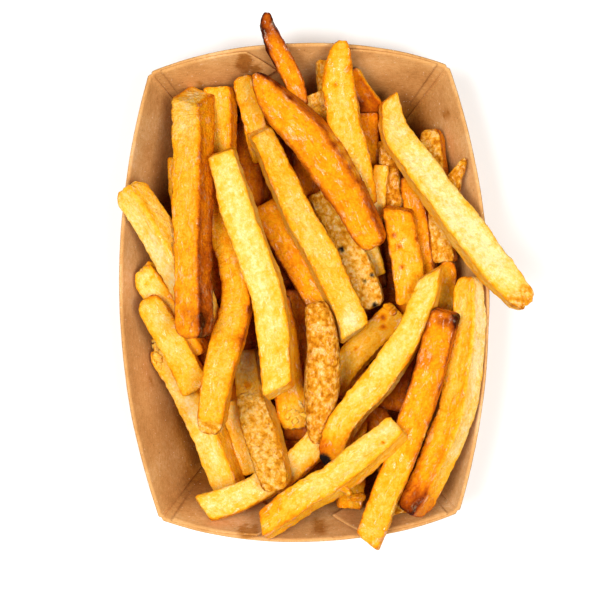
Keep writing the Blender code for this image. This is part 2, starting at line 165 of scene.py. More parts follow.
def plate_faces(columns, rows):
    """Faces of a thin plate: a grid of front points and then the same grid of back points."""
    layer = columns * rows
    faces = []
    for i in range(columns - 1):
        for j in range(rows - 1):
            a = i * rows + j
            faces.append((a, a + rows, a + rows + 1, a + 1))
            faces.append((layer + a, layer + a + 1, layer + a + rows + 1, layer + a + rows))
    edge = [i * rows for i in range(columns)]
    edge += [(columns - 1) * rows + j for j in range(1, rows)]
    edge += [i * rows + rows - 1 for i in reversed(range(columns - 1))]
    edge += list(reversed(range(1, rows - 1)))
    for a, b in zip(edge, edge[1:] + edge[:1]):
        faces.append((a, layer + a, layer + b, b))
    return faces


def new_piece(name, points, faces, finish, values, replaced=()):
    """A smooth piece from points in mm, with its named values at each point, that rides on the part."""
    mesh = bpy.data.meshes.new(name)
    mesh.from_pydata((np.asarray(points) * MM).tolist(), [], faces)
    mesh.polygons.foreach_set("use_smooth", [True] * len(mesh.polygons))
    for value_name, numbers in values.items():
        numbers = np.asarray(numbers, np.float32)
        kind, field = ("FLOAT", "value") if numbers.ndim == 1 else ("FLOAT_VECTOR", "vector")
        attribute = mesh.attributes.new(value_name, kind, "POINT")
        attribute.data.foreach_set(field, numbers.ravel())
    mesh.materials.append(finish)
    piece = bpy.data.objects.new(name, mesh)
    bpy.context.scene.collection.objects.link(piece)
    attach(piece, "root")
    if replaced:
        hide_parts(*replaced)
    return piece


def linear(colour):
    """An sRGB hex colour as linear RGBA."""
    parts = [int(colour[i:i + 2], 16) / 255.0 for i in (1, 3, 5)]
    return (*[c / 12.92 if c <= 0.04045 else ((c + 0.055) / 1.055)**2.4 for c in parts], 1.0)


def add_node(tree, kind, inputs=None, stops=(), output=0, **settings):
    """Adds a node with its settings, its inputs as values or links, and a ramp's stops. Returns an output."""
    made = tree.nodes.new("ShaderNode" + kind)
    for name, value in settings.items():
        setattr(made, name, value)
    for name, value in (inputs or {}).items():
        if isinstance(value, bpy.types.NodeSocket):
            tree.links.new(value, made.inputs[name])
        else:
            made.inputs[name].default_value = value
    for index, (place, colour) in enumerate(stops):
        ramp = made.color_ramp.elements
        stop = ramp[index] if index < 2 else ramp.new(place)
        stop.position = place
        stop.color = linear(colour)
    return made.outputs[output]


def carton_rings():
    """The carton's points: the base from its middle out, the walls up outside and down inside."""
    outer = []
    inner = []
    for row in range(FINE_ROWS + 1):
        up = row / FINE_ROWS
        places = []
        normals = []
        for wall, following in zip(WALLS, WALLS[1:] + WALLS[:1]):
            count = FINE_COLUMNS[wall]
            for column in range(count + 1):
                across = -1.0 + 2.0 * column / count
                places.append(wall_point(wall, across, up))
                normals.append(wall_normal(wall, across, up))
            start = wall_point(wall, 1.0, up)
            end = wall_point(following, -1.0, up)
            start_normal = wall_normal(wall, 1.0, up)
            end_normal = wall_normal(following, -1.0, up)
            for column in range(1, CREASE_COLUMNS):
                share = column / CREASE_COLUMNS
                normal = start_normal.lerp(end_normal, share).normalized()
                offset = (share - 0.5) * (end - start).length / CREASE_WIDTH
                bead = CREASE_HEIGHT * math.exp(-offset**2) * min(1.0, 4.0 * up)
                places.append(start.lerp(end, share) - normal * bead)
                normals.append(normal)
        places = np.array(places)
        normals = np.array(normals)
        sway = SWAY * drift(places, SWAY_SIZE, 3) + RIPPLE * drift(places, RIPPLE_SIZE, 4)
        places = places + normals * (sway * min(1.0, 3.0 * up))[:, None]
        within = places - normals * BOARD
        if row == 0:
            within[:, 2] = BOARD
        if row == FINE_ROWS:
            ragged = 0.09 * drift(places, 1.6, 5)
            places[:, 2] += ragged
            within[:, 2] += ragged
        outer.append(places)
        inner.append(within)
    bottom = [outer[0] * (share, share, 1.0) for share in BASE_RINGS]
    floor_rings = [inner[0] * (share, share, 1.0) for share in reversed(BASE_RINGS)]
    return bottom + outer, inner[::-1] + floor_rings


outer_rings, inner_rings = carton_rings()
ring_size = len(outer_rings[0])
carton_points = np.vstack([[(0.0, 0.0, 0.0)], *outer_rings, *inner_rings, [(0.0, 0.0, BOARD)]])
carton_faces = loft(len(outer_rings) + len(inner_rings), ring_size)
outer_count = 1 + len(outer_rings) * ring_size
indoors = np.arange(len(carton_points)) >= outer_count
for wall, mirror in itertools.product(("top", "bottom"), (-1.0, 1.0)):
    steps_along, steps_up = FLAP_STEPS
    plate = []
    for side in (FLAP_THICK, 0.0):
        for i in range(steps_along + 1):
            share = i / steps_along
            low = [a + (b - a) * share for a, b in zip(FLAP_BASE, FLAP_TIP)]
            high = [a + (b - a) * share for a, b in zip(FLAP_RIM, FLAP_CUT)]
            for j in range(steps_up + 1):
                across, up = [a + (b - a) * j / steps_up for a, b in zip(low, high)]
                depth = BOARD + 0.03 + FLAP_LIFT * share**3 + side
                point = wall_point(wall, mirror * across, up)
                plate.append(point - wall_normal(wall, mirror * across, up) * depth)
    plate = np.array(plate)
    sway = SWAY * drift(plate, SWAY_SIZE, 3)
    outwards = np.array((0.0, 1.0 if wall == "top" else -1.0, 0.0))
    plate = plate + sway[:, None] * outwards
    flap_faces = plate_faces(steps_along + 1, steps_up + 1)
    if (wall == "top") == (mirror > 0):
        flap_faces = [face[::-1] for face in flap_faces]
    carton_faces += [tuple(index + len(carton_points) for index in face) for face in flap_faces]
    carton_points = np.vstack([carton_points, plate])
    indoors = np.append(indoors, [True] * len(plate))

# Oil from the fries soaks into the board lower down, and in drops near the top edge. The darkening lower down
# also paints the shade that the fries cast on the walls.
depth_below_edge = RIM_MIDDLE_HEIGHT - carton_points[:, 2]
uneven_depth = depth_below_edge - OIL_AND_SHADE_START + 3.0 * drift(carton_points, 9.0, 6)
oil_and_shade = np.clip(uneven_depth / OIL_AND_SHADE_REACH, 0.0, 1.0)
for x, y, radius in GREASE_AND_SHADE_STAINS:
    away = np.hypot(carton_points[:, 0] - x, carton_points[:, 1] - y)
    away += 0.35 * radius * drift(carton_points, 1.8, 7)
    oil_and_shade = np.maximum(oil_and_shade, np.clip((radius - away) / 0.5, 0.0, 0.9))
oil_and_shade = np.where(indoors, oil_and_shade, 0.0)

# Unbleached kraft board, uncoated: a dry matt face of long brown fibres with a few pale and dark ones, cloudy
# where the pulp is uneven, and darker and more orange where oil soaks in and where shade is painted lower
# down the walls.
kraft_board = bpy.data.materials.new("unbleached_kraft_board")
kraft_board.use_nodes = True
tree = kraft_board.node_tree
place = add_node(tree, "TexCoord", output="Object")
in_mm = add_node(tree, "Mapping", {"Vector": place, "Scale": (1 / MM,) * 3})
clouds = add_node(tree, "TexNoise", {"Vector": in_mm, "Scale": 1 / 14.0, "Detail": 3.0})
pulp = add_node(tree, "TexNoise", {"Vector": in_mm, "Scale": 1 / 1.1, "Detail": 5.0,
                                             "Roughness": 0.65})
fibres = []
for direction in ((1, 0, 0), (0, 1, 0)):
    stretch = tuple(1.0 / (FIBRE_LENGTH if part else FIBRE_WIDTH) for part in direction)
    laid_along = add_node(tree, "Mapping", {"Vector": in_mm, "Scale": stretch})
    fibres.append(add_node(tree, "TexNoise", {"Vector": laid_along, "Scale": 1.0, "Detail": 2.0}))
fibre = add_node(tree, "Math", {0: fibres[0], 1: fibres[1]}, operation="ADD")
tone = add_node(tree, "Math", {0: fibre, 1: 0.42, 2: clouds}, operation="MULTIPLY_ADD")
tone = add_node(tree, "Math", {0: pulp, 1: 0.55, 2: tone}, operation="MULTIPLY_ADD")
tone = add_node(tree, "MapRange", {"Value": tone, "From Min": 0.85, "From Max": 1.55})
dry = add_node(tree, "ValToRGB", {"Fac": tone}, stops=(
    (0.0, "#AE783E"), (1.0, "#E0B888"), (0.35, "#C68E50"), (0.65, "#D39F61")))
oil_and_shade_board = add_node(tree, "ValToRGB", {"Fac": tone}, stops=(
    (0.0, "#7C420C"), (1.0, "#BE8038"), (0.5, "#A0601A")))
# Oil soak together with painted shade lower down the walls: the darker, more orange board.
oil = add_node(tree, "Attribute", attribute_name="oil_and_shade", output="Fac")
board_colour = add_node(tree, "Mix", {0: oil, 6: dry, 7: oil_and_shade_board}, data_type="RGBA", output=2)
fleck_noise = add_node(tree, "TexNoise", {"Vector": in_mm, "Scale": 1 / 0.8, "Detail": 1.0})
pale_fleck, dark_fleck = [
    add_node(tree, "MapRange", {"Value": fleck_noise, "From Min": begin, "From Max": end, "To Max": cover})
    for begin, end, cover in ((0.72, 0.78, 0.55), (0.28, 0.22, 0.5))]
for fleck, colour in ((pale_fleck, "#F0D9B8"), (dark_fleck, "#6B4526")):
    board_colour = add_node(tree, "Mix", {0: fleck, 6: board_colour, 7: linear(colour)},
                            data_type="RGBA", output=2)
nap = add_node(tree, "Math", {0: fibre, 1: pulp}, operation="ADD")
relief = add_node(tree, "Bump", {"Height": nap, "Strength": 0.35, "Distance": 0.12 * MM})
finish = tree.nodes["Principled BSDF"]
tree.links.new(board_colour, finish.inputs["Base Color"])
tree.links.new(relief, finish.inputs["Normal"])
finish.inputs["Roughness"].default_value = 0.85
finish.inputs["IOR"].default_value = 1.46
finish.inputs["Specular IOR Level"].default_value = 0.2

new_piece("carton_board", carton_points, carton_faces, kraft_board,
          {"oil_and_shade": oil_and_shade}, ("carton",))

# The hidden middle of the heap
# What lies in the tray below the fries that can be seen: broken and sunken fries, close together, coloured
# dark brown as painted shade. It is one bumpy mound that follows the base and the walls.
CORE_GAP = 0.9
CORE_SHOULDER = 0.22
CORE_CROWN = ((1.0, 9.0), (0.75, 14.0), (0.4, 16.0))
CORE_COLUMNS = {"right": 12, "top": 10, "left": 12, "bottom": 10}
CORE_FINE = 6
MOTTLE = 2.3                    # mm: patches where the crust browned more
GRAIN = 0.75                    # the floury grain of the crust, as fine as the picture shows
BLISTER = 1.25                  # small blisters of the crust
CRINKLE = 1.4                   # fine creases of the crust
STREAK = 1.3                    # streaks that run along the fry
WRINKLE = 1.7                   # folds of the skin
SPECK = 1.0                     # brown specks of the skin
# Painted highlights: a pale cream on the crust's oily streaks and on the skin's ridges, for the glints of
# oil.
PAINTED_GLINT_COLOUR = "#FFE8B0"
PAINTED_RIDGE_GLINT = "#FFEFC8"
DARK_SPECK = "#7C4012"
CHAR = "#1C1414"
SKIN_STOPS = ((0.24, "#A85A06"), (0.72, "#F0BE5E"), (0.35, "#C4760E"), (0.46, "#D88C16"), (0.58, "#E6A636"))
FLESH_STOPS = ((0.0, "#EFD292"), (1.0, "#401000"), (0.10, "#EFC468"), (0.25, "#F0B136"), (0.40, "#EFA110"),
               (0.53, "#E98D08"), (0.66, "#D67404"), (0.78, "#B25206"), (0.89, "#843202"))


def core_rings():
    """Rings of the mound: near the base, at its shoulder by the walls, and up over its crown."""
    places = [(wall, -1.0 + 2.0 * column / CORE_COLUMNS[wall])
              for wall in WALLS for column in range(CORE_COLUMNS[wall] + 1)]
    inset = BOARD + CORE_GAP
    low = inset / RIM_CORNER_HEIGHT
    foot, shoulder = [
        np.array([wall_point(wall, across, up) - wall_normal(wall, across, up) * (inset + FLAP_THICK)
                  for wall, across in places])
        for up in (low, CORE_SHOULDER)]
    foot[:, 2] = inset
    rings = [foot]
    for share, height in CORE_CROWN:
        rings.append(np.column_stack([shoulder[:, :2] * share, np.full(len(places), height)]))
    return rings


def fried_potato(name, bump, roughness, oil):
    """Potato fried in oil: a floury, matt crust, and a thin film of oil that glints along its streaks.
    Browning, skin, burns and the place in the fry are values at each of a piece's points.
    """
    result = bpy.data.materials.new(name)
    result.use_nodes = True
    tree = result.node_tree
    browning, skin, burnt = [add_node(tree, "Attribute", attribute_name=value, output="Fac")
                             for value in ("browning", "skin", "burnt")]
    in_fry = add_node(tree, "Attribute", attribute_name="in_fry", output="Vector")

    # Patches, grain, blisters, creases, wrinkles, and streaks that run along the fry.
    mottle = add_node(tree, "TexNoise", {"Vector": in_fry, "Scale": 1 / MOTTLE, "Detail": 5.0,
                                         "Roughness": 0.7, "Distortion": 0.3})
    grain = add_node(tree, "TexNoise", {"Vector": in_fry, "Scale": 1 / GRAIN, "Detail": 3.0,
                                        "Roughness": 0.7})
    stretched = add_node(tree, "Mapping", {"Vector": in_fry, "Scale": (0.85, 1.0, 1.0)})
    bent = add_node(tree, "VectorMath", {0: mottle.node.outputs[1], 1: (1.6, 1.6, 1.6), 2: stretched},
                    operation="MULTIPLY_ADD")
    dome = add_node(tree, "TexVoronoi", {"Vector": bent, "Scale": 1 / BLISTER}, output="Distance")
    dome = add_node(tree, "MapRange", {"Value": dome, "From Min": 0.0, "From Max": 0.85, "To Min": 1.0,
                                       "To Max": 0.0}, interpolation_type="SMOOTHSTEP")
    crinkle = add_node(tree, "TexNoise", {"Vector": stretched, "Scale": 1 / CRINKLE, "Detail": 3.0,
                                          "Roughness": 0.55, "Distortion": 0.3})
    crinkle = add_node(tree, "Math", {0: crinkle, 1: 0.5}, operation="SUBTRACT")
    crinkle = add_node(tree, "Math", {0: crinkle}, operation="ABSOLUTE")
    crease = add_node(tree, "MapRange", {"Value": crinkle, "From Max": 0.10, "To Min": 1.0, "To Max": 0.0})
    wrinkle = add_node(tree, "TexNoise", {"Vector": stretched, "Scale": 1 / WRINKLE, "Detail": 4.0,
                                          "Roughness": 0.62, "Distortion": 0.3})
    along = add_node(tree, "Mapping", {"Vector": in_fry, "Scale": (0.4, 1.0, 1.0)})
    streak = add_node(tree, "TexNoise", {"Vector": along, "Scale": 1 / STREAK, "Detail": 4.0,
                                         "Roughness": 0.65, "Distortion": 0.5})

    # The crust: its browning, less uneven the browner it is. Blister tops are a little lighter, partly
    # painted highlight, and the oily streaks carry a painted highlight of pale cream for the glints of oil.
    uneven = add_node(tree, "MapRange", {"Value": mottle, "From Min": 0.33, "From Max": 0.62,
                                         "To Min": -0.16, "To Max": 0.08})
    for part, amount in ((grain, 0.34), (crease, 0.05), (dome, -0.06)):
        uneven = add_node(tree, "Math", {0: part, 1: amount, 2: uneven}, operation="MULTIPLY_ADD")
    uneven = add_node(tree, "Math", {0: uneven, 1: 0.12}, operation="SUBTRACT")
    calm = add_node(tree, "MapRange", {"Value": browning, "From Min": 0.35, "From Max": 0.75,
                                       "To Min": 1.0, "To Max": 0.4})
    shade = add_node(tree, "Math", {0: uneven, 1: calm, 2: browning}, operation="MULTIPLY_ADD")
    crust = add_node(tree, "ValToRGB", {"Fac": shade}, stops=FLESH_STOPS)
    streak_top = add_node(tree, "MapRange", {"Value": streak, "From Min": 0.53, "From Max": 0.62})
    oily_patch = add_node(tree, "MapRange", {"Value": mottle, "From Min": 0.44, "From Max": 0.54})
    oily_streak = add_node(tree, "Math", {0: streak_top, 1: oily_patch}, operation="MULTIPLY")
    # Painted highlight: pale cream mixed in on the oily streaks.
    glint_paint = add_node(tree, "Math", {0: calm, 1: 0.28}, operation="MULTIPLY")
    glint_paint = add_node(tree, "Math", {0: oily_streak, 1: glint_paint}, operation="MULTIPLY")
    crust = add_node(tree, "Mix", {0: glint_paint, 6: crust, 7: linear(PAINTED_GLINT_COLOUR)}, data_type="RGBA", output=2)

    # The skin: brown in its folds and golden between them, with painted highlights of pale cream on its
    # ridges and a few dark specks.
    fold = wrinkle
    for part, amount in ((dome, 0.22), (browning, -0.4)):
        fold = add_node(tree, "Math", {0: part, 1: amount, 2: fold}, operation="MULTIPLY_ADD")
    fold = add_node(tree, "Math", {0: fold, 1: 0.12}, operation="ADD")
    peel = add_node(tree, "ValToRGB", {"Fac": fold}, stops=SKIN_STOPS)
    ridge = add_node(tree, "MapRange", {"Value": wrinkle, "From Min": 0.48, "From Max": 0.56})
    ridge = add_node(tree, "Math", {0: crease, 1: ridge}, operation="MULTIPLY")
    # Painted highlight: thin pale lines along the skin's ridges.
    ridge_glint_paint = add_node(tree, "Math", {0: crease, 1: ridge}, operation="MULTIPLY")
    ridge_glint_paint = add_node(tree, "Math", {0: ridge_glint_paint, 1: 0.22}, operation="MULTIPLY")
    speck = add_node(tree, "TexNoise", {"Vector": in_fry, "Scale": 1 / SPECK, "Detail": 1.0})
    speck = add_node(tree, "MapRange", {"Value": speck, "From Min": 0.77, "From Max": 0.83, "To Max": 0.8})
    for cover, colour in ((ridge_glint_paint, PAINTED_RIDGE_GLINT), (speck, DARK_SPECK)):
        peel = add_node(tree, "Mix", {0: cover, 6: peel, 7: linear(colour)}, data_type="RGBA", output=2)
    surface = add_node(tree, "Mix", {0: skin, 6: crust, 7: peel}, data_type="RGBA", output=2)
    surface = add_node(tree, "Mix", {0: burnt, 6: surface, 7: linear(CHAR)}, data_type="RGBA", output=2)

    # The relief of all this, gentler under the film of oil, which lies on streaks and ridges only.
    skin_height = add_node(tree, "Math", {0: wrinkle, 1: skin}, operation="MULTIPLY")
    height = mottle
    for part, amount in ((grain, 0.9), (dome, 0.22), (streak, 0.8), (crease, -0.12), (skin_height, 1.5)):
        height = add_node(tree, "Math", {0: part, 1: amount, 2: height}, operation="MULTIPLY_ADD")
    relief, wet_relief = [
        add_node(tree, "Bump", {"Height": height, "Strength": strength, "Distance": 1.0 * MM})
        for strength in (bump, 0.5 * bump)]
    gloss = add_node(tree, "MapRange", {"Value": mottle, "From Min": 0.35, "From Max": 0.65,
                                        "To Min": roughness - 0.1, "To Max": roughness + 0.12})
    film = add_node(tree, "Mix", {0: skin, 2: oily_streak, 3: ridge})
    film = add_node(tree, "Math", {0: film, 1: oil}, operation="MULTIPLY")
    finish = tree.nodes["Principled BSDF"]
    for socket, output in (("Base Color", surface), ("Roughness", gloss), ("Normal", relief),
                           ("Coat Weight", film), ("Coat Normal", wet_relief)):
        tree.links.new(output, finish.inputs[socket])
    for socket, value in (("IOR", 1.45), ("Specular IOR Level", 0.05), ("Coat Roughness", 0.16),
                          ("Coat IOR", 1.47), ("Subsurface Weight", 0.22),
                          ("Subsurface Radius", (1.0, 0.45, 0.1)), ("Subsurface Scale", 1.2 * MM)):
        finish.inputs[socket].default_value = value
    return result


rings = core_rings()
plain_points = np.vstack([[rings[0].mean(axis=0)], *rings, [rings[-1].mean(axis=0)]])
plain_mesh = bpy.data.meshes.new("plain_core")
plain_mesh.from_pydata((plain_points * MM).tolist(), [], loft(len(rings), len(rings[0])))
plain_core = bpy.data.objects.new("plain_core", plain_mesh)
bpy.context.scene.collection.objects.link(plain_core)

fine_rings = []
for ring, following in zip(rings, rings[1:]):
    for step in range(CORE_FINE):
        fine_rings.append(ring + (following - ring) * step / CORE_FINE)
fine_rings.append(rings[-1])
core_points = np.vstack([[rings[0].mean(axis=0)], *fine_rings, [rings[-1].mean(axis=0)]])
lumps = np.minimum(0.0, 1.2 * drift(core_points, 6.0, 11) - 0.3)
core_points[:, 2] += np.where(core_points[:, 2] > BOARD + CORE_GAP + 1.0, lumps, 0.0)

# Soft potato between the others, with little oil on it, too shaded to shine. The dark browning that the core
# and the sunken fries are given is painted shade.
shaded_potato = fried_potato("fried_potato_in_shade", 0.5, 0.5, 0.2)
# Painted shade: the core is browned dark all over.
core_painted_shade = 0.84 + 0.1 * drift(core_points, 5.0, 12)
nothing = np.zeros(len(core_points))
new_piece("fries_core", core_points, loft(len(fine_rings), len(rings[0])), shaded_potato,
          {"browning": core_painted_shade, "skin": nothing, "burnt": nothing, "in_fry": core_points}, ("fries",))

# How the fries lie
# Thick-cut fries, 6 to 12 mm wide, tipped into the tray. Each rests on the board, on the mound and on
# the fries that were laid before it, and dents them a little. All sizes are in mm, seen from above.
CELL = 0.5                      # cells of the field of heights, which reaches FIELD_HALF each way
FIELD_HALF = 96.0
STEP = 0.4                      # between places along a fry, and SAMPLES places across it
SAMPLES = 33
DEEP_SINK = 5.0                 # how far a fry presses into what lies under it
REST_SINK = 1.9
STEEPEST = 0.8                  # rise per mm along a fry
CHAMFER = 0.18                  # of the plain section, as shares of its width, like the heights
FLAT_HEIGHT = 0.82
ROLLED_HEIGHT = 0.95
FLAT_ROLL = 20.0                # degrees of roll from which a fry has the rolled height
ENDS = {
    "cut": ((0.0, 0.86), (1.0, 1.0)),
    "broken": ((0.0, 0.72), (2.5, 1.0)),
    "round": ((0.0, 0.55), (1.5, 0.85), (4.5, 1.0)),
    "point": ((0.0, 0.30), (3.0, 0.62), (14.0, 1.0)),
}

# From the bottom of the heap to the top: name, the fry's line seen from above, the widths along it,
# the roll in degrees that turns its left-hand side up, and its two ends.
DEEP_FRIES = [
    ("deep_left", ((-40, 21), (-25.5, -11)), (9,), 20, "cut", "cut"),
    ("deep_lower_left", ((-31, -12), (-16, -48)), (9.5,), -10, "cut", "cut"),
    ("deep_upper_left", ((-22.5, 53), (-26.5, -1.5)), (9.5,), 10, "cut", "cut"),
    ("deep_upper_middle", ((-13.5, 54.5), (-14.5, -5)), (9,), 25, "cut", "cut"),
    ("deep_middle", ((-1, 55.5), (2.5, -2.5)), (9,), -20, "cut", "cut"),
    ("deep_lower_cross", ((20, -31.5), (-14, -48)), (9.5,), 10, "cut", "cut"),
    ("deep_lower_right", ((13.5, -24), (28.5, -59)), (9.5,), -15, "cut", "cut"),
    ("deep_right", ((37.5, 16.5), (25.5, -36)), (9.5,), 12, "cut", "cut"),
    ("deep_upper_right", ((13.5, 55.5), (20.5, 0.5)), (9.5,), -12, "cut", "cut"),
    ("deep_lower_middle", ((-2, 1), (-2.5, -44.5)), (9,), 12, "cut", "cut"),
    ("deep_far_right", ((29.5, 49), (32.5, 12)), (8.5,), 22, "cut", "cut"),
]
MIDDLE_FRIES = [
    ("olive_left", ((-39.5, 41.5), (-38, 13.5)), (6,), 10, "cut", "cut"),
    ("gold_behind_left", ((-23, 62), (-23, 43.5), (-24, 24)), (8.5,), 12, "cut", "cut"),
    ("olive_top", ((-16.5, 65), (-11, 40)), (7,), 10, "round", "cut"),
    ("skin_sliver_top", ((8.5, 68.5), (8.5, 42.5)), (7,), 0, "cut", "cut"),
    ("pale_edge_top", ((14.5, 64.5), (22.5, 52.5), (26.5, 45)), (7.5,), 12, "cut", "cut"),
    ("skin_end_top", ((3.5, 58.5), (11, 39.5)), (7.5,), -14, "cut", "cut"),
    ("brown_short_top", ((20.5, 53), (21, 35.5)), (6.5,), 0, "cut", "cut"),
    ("brown_skin_right", ((26, 45), (28, 23.5)), (6,), 8, "cut", "cut"),
    ("pale_slim_top", ((24, 37.5), (22, 20.5)), (5,), 8, "cut", "cut"),
    ("gold_right", ((33, 34), (35, 18), (36, 2.5)), (7,), 16, "cut", "cut"),
    ("orange_right", ((39, 48), (40.5, 29.5), (42, 8)), (7,), 14, "round", "cut"),
    ("skin_tip_right", ((48.5, 38.5), (45, 31.5), (42, 25.5)), (5, 6.5), 10, "point", "cut"),
    ("dark_short_right", ((42.5, 8), (42.5, -10.5)), (5.5,), 0, "round", "cut"),
    ("orange_low_centre", ((-9, -1.5), (-6.5, -15.5), (-5, -29), (-3.5, -40.5)), (9.5,), 0, "cut", "broken"),
    ("orange_centre", ((-11.5, 27), (-4, 13), (6.5, -5)), (9.5,), 0, "cut", "cut"),
    ("pale_stub", ((19, 15.5), (22, 4.5)), (6,), 0, "cut", "cut"),
    ("spotted_skin_centre", ((5.5, 30.5), (14, 12.5), (21, -5)), (9,), 0, "cut", "round"),
    ("speckled_gold_right", ((28.5, 24.5), (30.5, 12), (32, -4)), (9.5,), 8, "cut", "cut"),
    ("gold_cross_low", ((28.5, -6.5), (19, -15), (11.5, -24), (7.5, -30.5)), (8.5,), 12, "cut", "cut"),
    ("gold_low_left", ((-22.5, -32), (-15, -53.5)), (9,), 10, "cut", "cut"),
    ("pale_left_low", ((-43, -15), (-35.5, -28), (-29.5, -41.5), (-23.5, -58.5)),
     (8.5,), 25, "broken", "cut"),
    ("pale_left_middle", ((-46.5, 6.5), (-40.5, -3.5), (-31.5, -20)), (8, 9), 16, "cut", "cut"),
    ("gold_left_middle", ((-46, -1), (-41, -10.5), (-31.5, -28.5)), (8, 9.5), 4, "round", "cut"),
    ("pale_left_top", ((-51, 32), (-43, 19), (-34.5, 4), (-28.5, -11)), (8, 9.5, 9.5), 42, "round", "cut"),
    ("small_end_low", ((14.5, -38), (12, -64.5)), (8,), 0, "cut", "cut"),
    ("skin_low_right", ((23.5, -47.5), (27, -66)), (7.5,), 0, "cut", "cut"),
    ("pale_right_low", ((48.5, 3.5), (48, -12), (46, -27), (42, -41.5), (36, -54.5), (29.5, -66)),
     (7, 9, 9, 8), 35, "round", "round"),
]
TOP_FRIES = [
    ("dark_curled_top", ((-9, 82), (-9, 78), (-7, 73), (-4.5, 68), (-2, 63), (0, 55)),
     (3.5, 5.5, 6, 6), 0, "round", "cut"),
    ("gold_top", ((13, 73.5), (11.5, 63.5), (12.5, 55), (14, 46), (19, 25.5)),
     (9.5, 9.5, 10.5, 10.5, 7.5), 34, "point", "cut"),
    ("gold_centre", ((-13, 48.5), (-1, 21.5), (10.5, -2.5), (14, -13)), (7.5, 9, 9), -30, "cut", "cut"),
    ("orange_diagonal", ((-13, 64.5), (-5.5, 54.5), (4, 44), (13, 29.5), (21.5, 13)),
     (9, 11, 12.5, 11, 9), 14, "round", "round"),
    ("pale_low_left", ((10.5, -34.5), (5.5, -42), (-2.5, -50), (-12, -56), (-21, -60.5), (-31.5, -63.5)),
     (8.5,), 10, "cut", "round"),
    ("spotted_skin", ((-18, -17), (-17, -26.5), (-15.5, -34.5), (-12.5, -43.5), (-9, -58)),
     (7, 8, 10.5, 10.5, 9), 14, "cut", "round"),
    ("bent_left", ((-27, 32.5), (-24.5, 20), (-20.5, 6.5), (-20, -4), (-23.5, -15.5), (-26.5, -28.5),
                   (-28.5, -40.5)), (6.5, 7.5, 8, 9, 9.5, 9, 7.5), 10, "cut", "round"),
    ("long_brown", ((-31.5, 62), (-32, 40), (-32.5, 16), (-32, -12.5)), (10, 10, 9, 9), 30, "cut", "round"),
    ("pale_centre", ((-23.5, 42), (-17.5, 21), (-11, 1.5), (-9, -13.5), (-8, -29)),
     (8.5, 9.5, 10, 10, 9), 8, "cut", "cut"),
    ("skin_spindle", ((3, -3), (4.5, -11), (5, -20), (4.5, -27.5), (3.5, -35.5), (2.5, -45)),
     (7, 8.5, 10, 9.5, 8), 0, "round", "point"),
    ("pale_gold_right", ((37, 5), (35, -4), (29.5, -15), (22.5, -25), (15, -33.5), (10, -40.5), (6, -51.5)),
     (6.5, 7.5, 9, 9, 8.5, 8.5, 7), 15, "round", "round"),
    ("overhang_low", ((41.5, -6.5), (38.5, -16), (35, -27), (30.5, -39.5), (26, -52.5), (21, -63.5),
                      (16, -75.5)), (8, 9, 9.5, 9.5, 8.5, 8.5, 7.5), 8, "cut", "cut"),
    ("front_pale", ((26.5, -39.5), (21.5, -44), (9.5, -54), (-1, -60), (-14, -69)),
     (7, 8.5, 8.5, 8.5, 7.5), 26, "cut", "cut"),
    ("pale_right", ((26.5, 57.5), (28, 47.5), (33.5, 38), (40.5, 27.5), (49, 15), (55, 6.5), (64.5, -5)),
     (6, 8.5, 9.5, 10, 10.5, 10, 7.5), -10, "round", "broken"),
]


def height_field(obj, margin):
    """The height of an object's top at every cell, raised by margin and spread by one cell."""
    tree = BVHTree.FromPolygons([point.co for point in obj.data.vertices],
                                [tuple(face.vertices) for face in obj.data.polygons])
    size = int(2 * FIELD_HALF / CELL) + 1
    field = np.full((size, size), -1000.0)
    high = Vector((0.0, 0.0, 1.0))
    down = Vector((0.0, 0.0, -1.0))
    for i in range(size):
        high.x = (i * CELL - FIELD_HALF) * MM
        for j in range(size):
            high.y = (j * CELL - FIELD_HALF) * MM
            hit = tree.ray_cast(high, down)[0]
            if hit is not None:
                field[i, j] = hit.z / MM + margin
    spread = field.copy()
    for shift in ((0, 1), (0, -1), (1, 0), (-1, 0)):
        spread = np.maximum(spread, np.roll(field, shift, (0, 1)))
    return spread


def cell_of(values):
    return np.round((values + FIELD_HALF) / CELL).astype(int)


def turn_by(roll):
    angle = math.radians(roll)
    return np.array(((math.cos(angle), -math.sin(angle)), (math.sin(angle), math.cos(angle))))


def section_height(roll):
    return FLAT_HEIGHT if abs(roll) < FLAT_ROLL else ROLLED_HEIGHT


def rest_section(roll):
    """The corners of the plain eight-sided section that decides how high a fry lies."""
    half = (0.5, 0.5 * section_height(roll))
    outline = []
    for x, y in ((1, 1), (-1, 1), (-1, -1), (1, -1)):
        near_side = (x * half[0], y * (half[1] - CHAMFER))
        near_top = (x * (half[0] - CHAMFER), y * half[1])
        outline += [near_side, near_top] if x * y > 0 else [near_top, near_side]
    return np.array(outline) @ turn_by(roll).T


def section_reach(outline, sideways):
    """The lowest and highest point of a section at each place across it."""
    low = np.full(sideways.shape, np.inf)
    high = np.full(sideways.shape, -np.inf)
    for start, end in zip(outline, np.roll(outline, -1, axis=0)):
        if start[0] > end[0]:
            start, end = end, start
        if end[0] - start[0] < 1e-9:
            continue
        inside = (sideways >= start[0] - 1e-9) & (sideways <= end[0] + 1e-9)
        height = start[1] + (sideways - start[0]) / (end[0] - start[0]) * (end[1] - start[1])
        low[inside] = np.minimum(low[inside], height[inside])
        high[inside] = np.maximum(high[inside], height[inside])
    return low, high


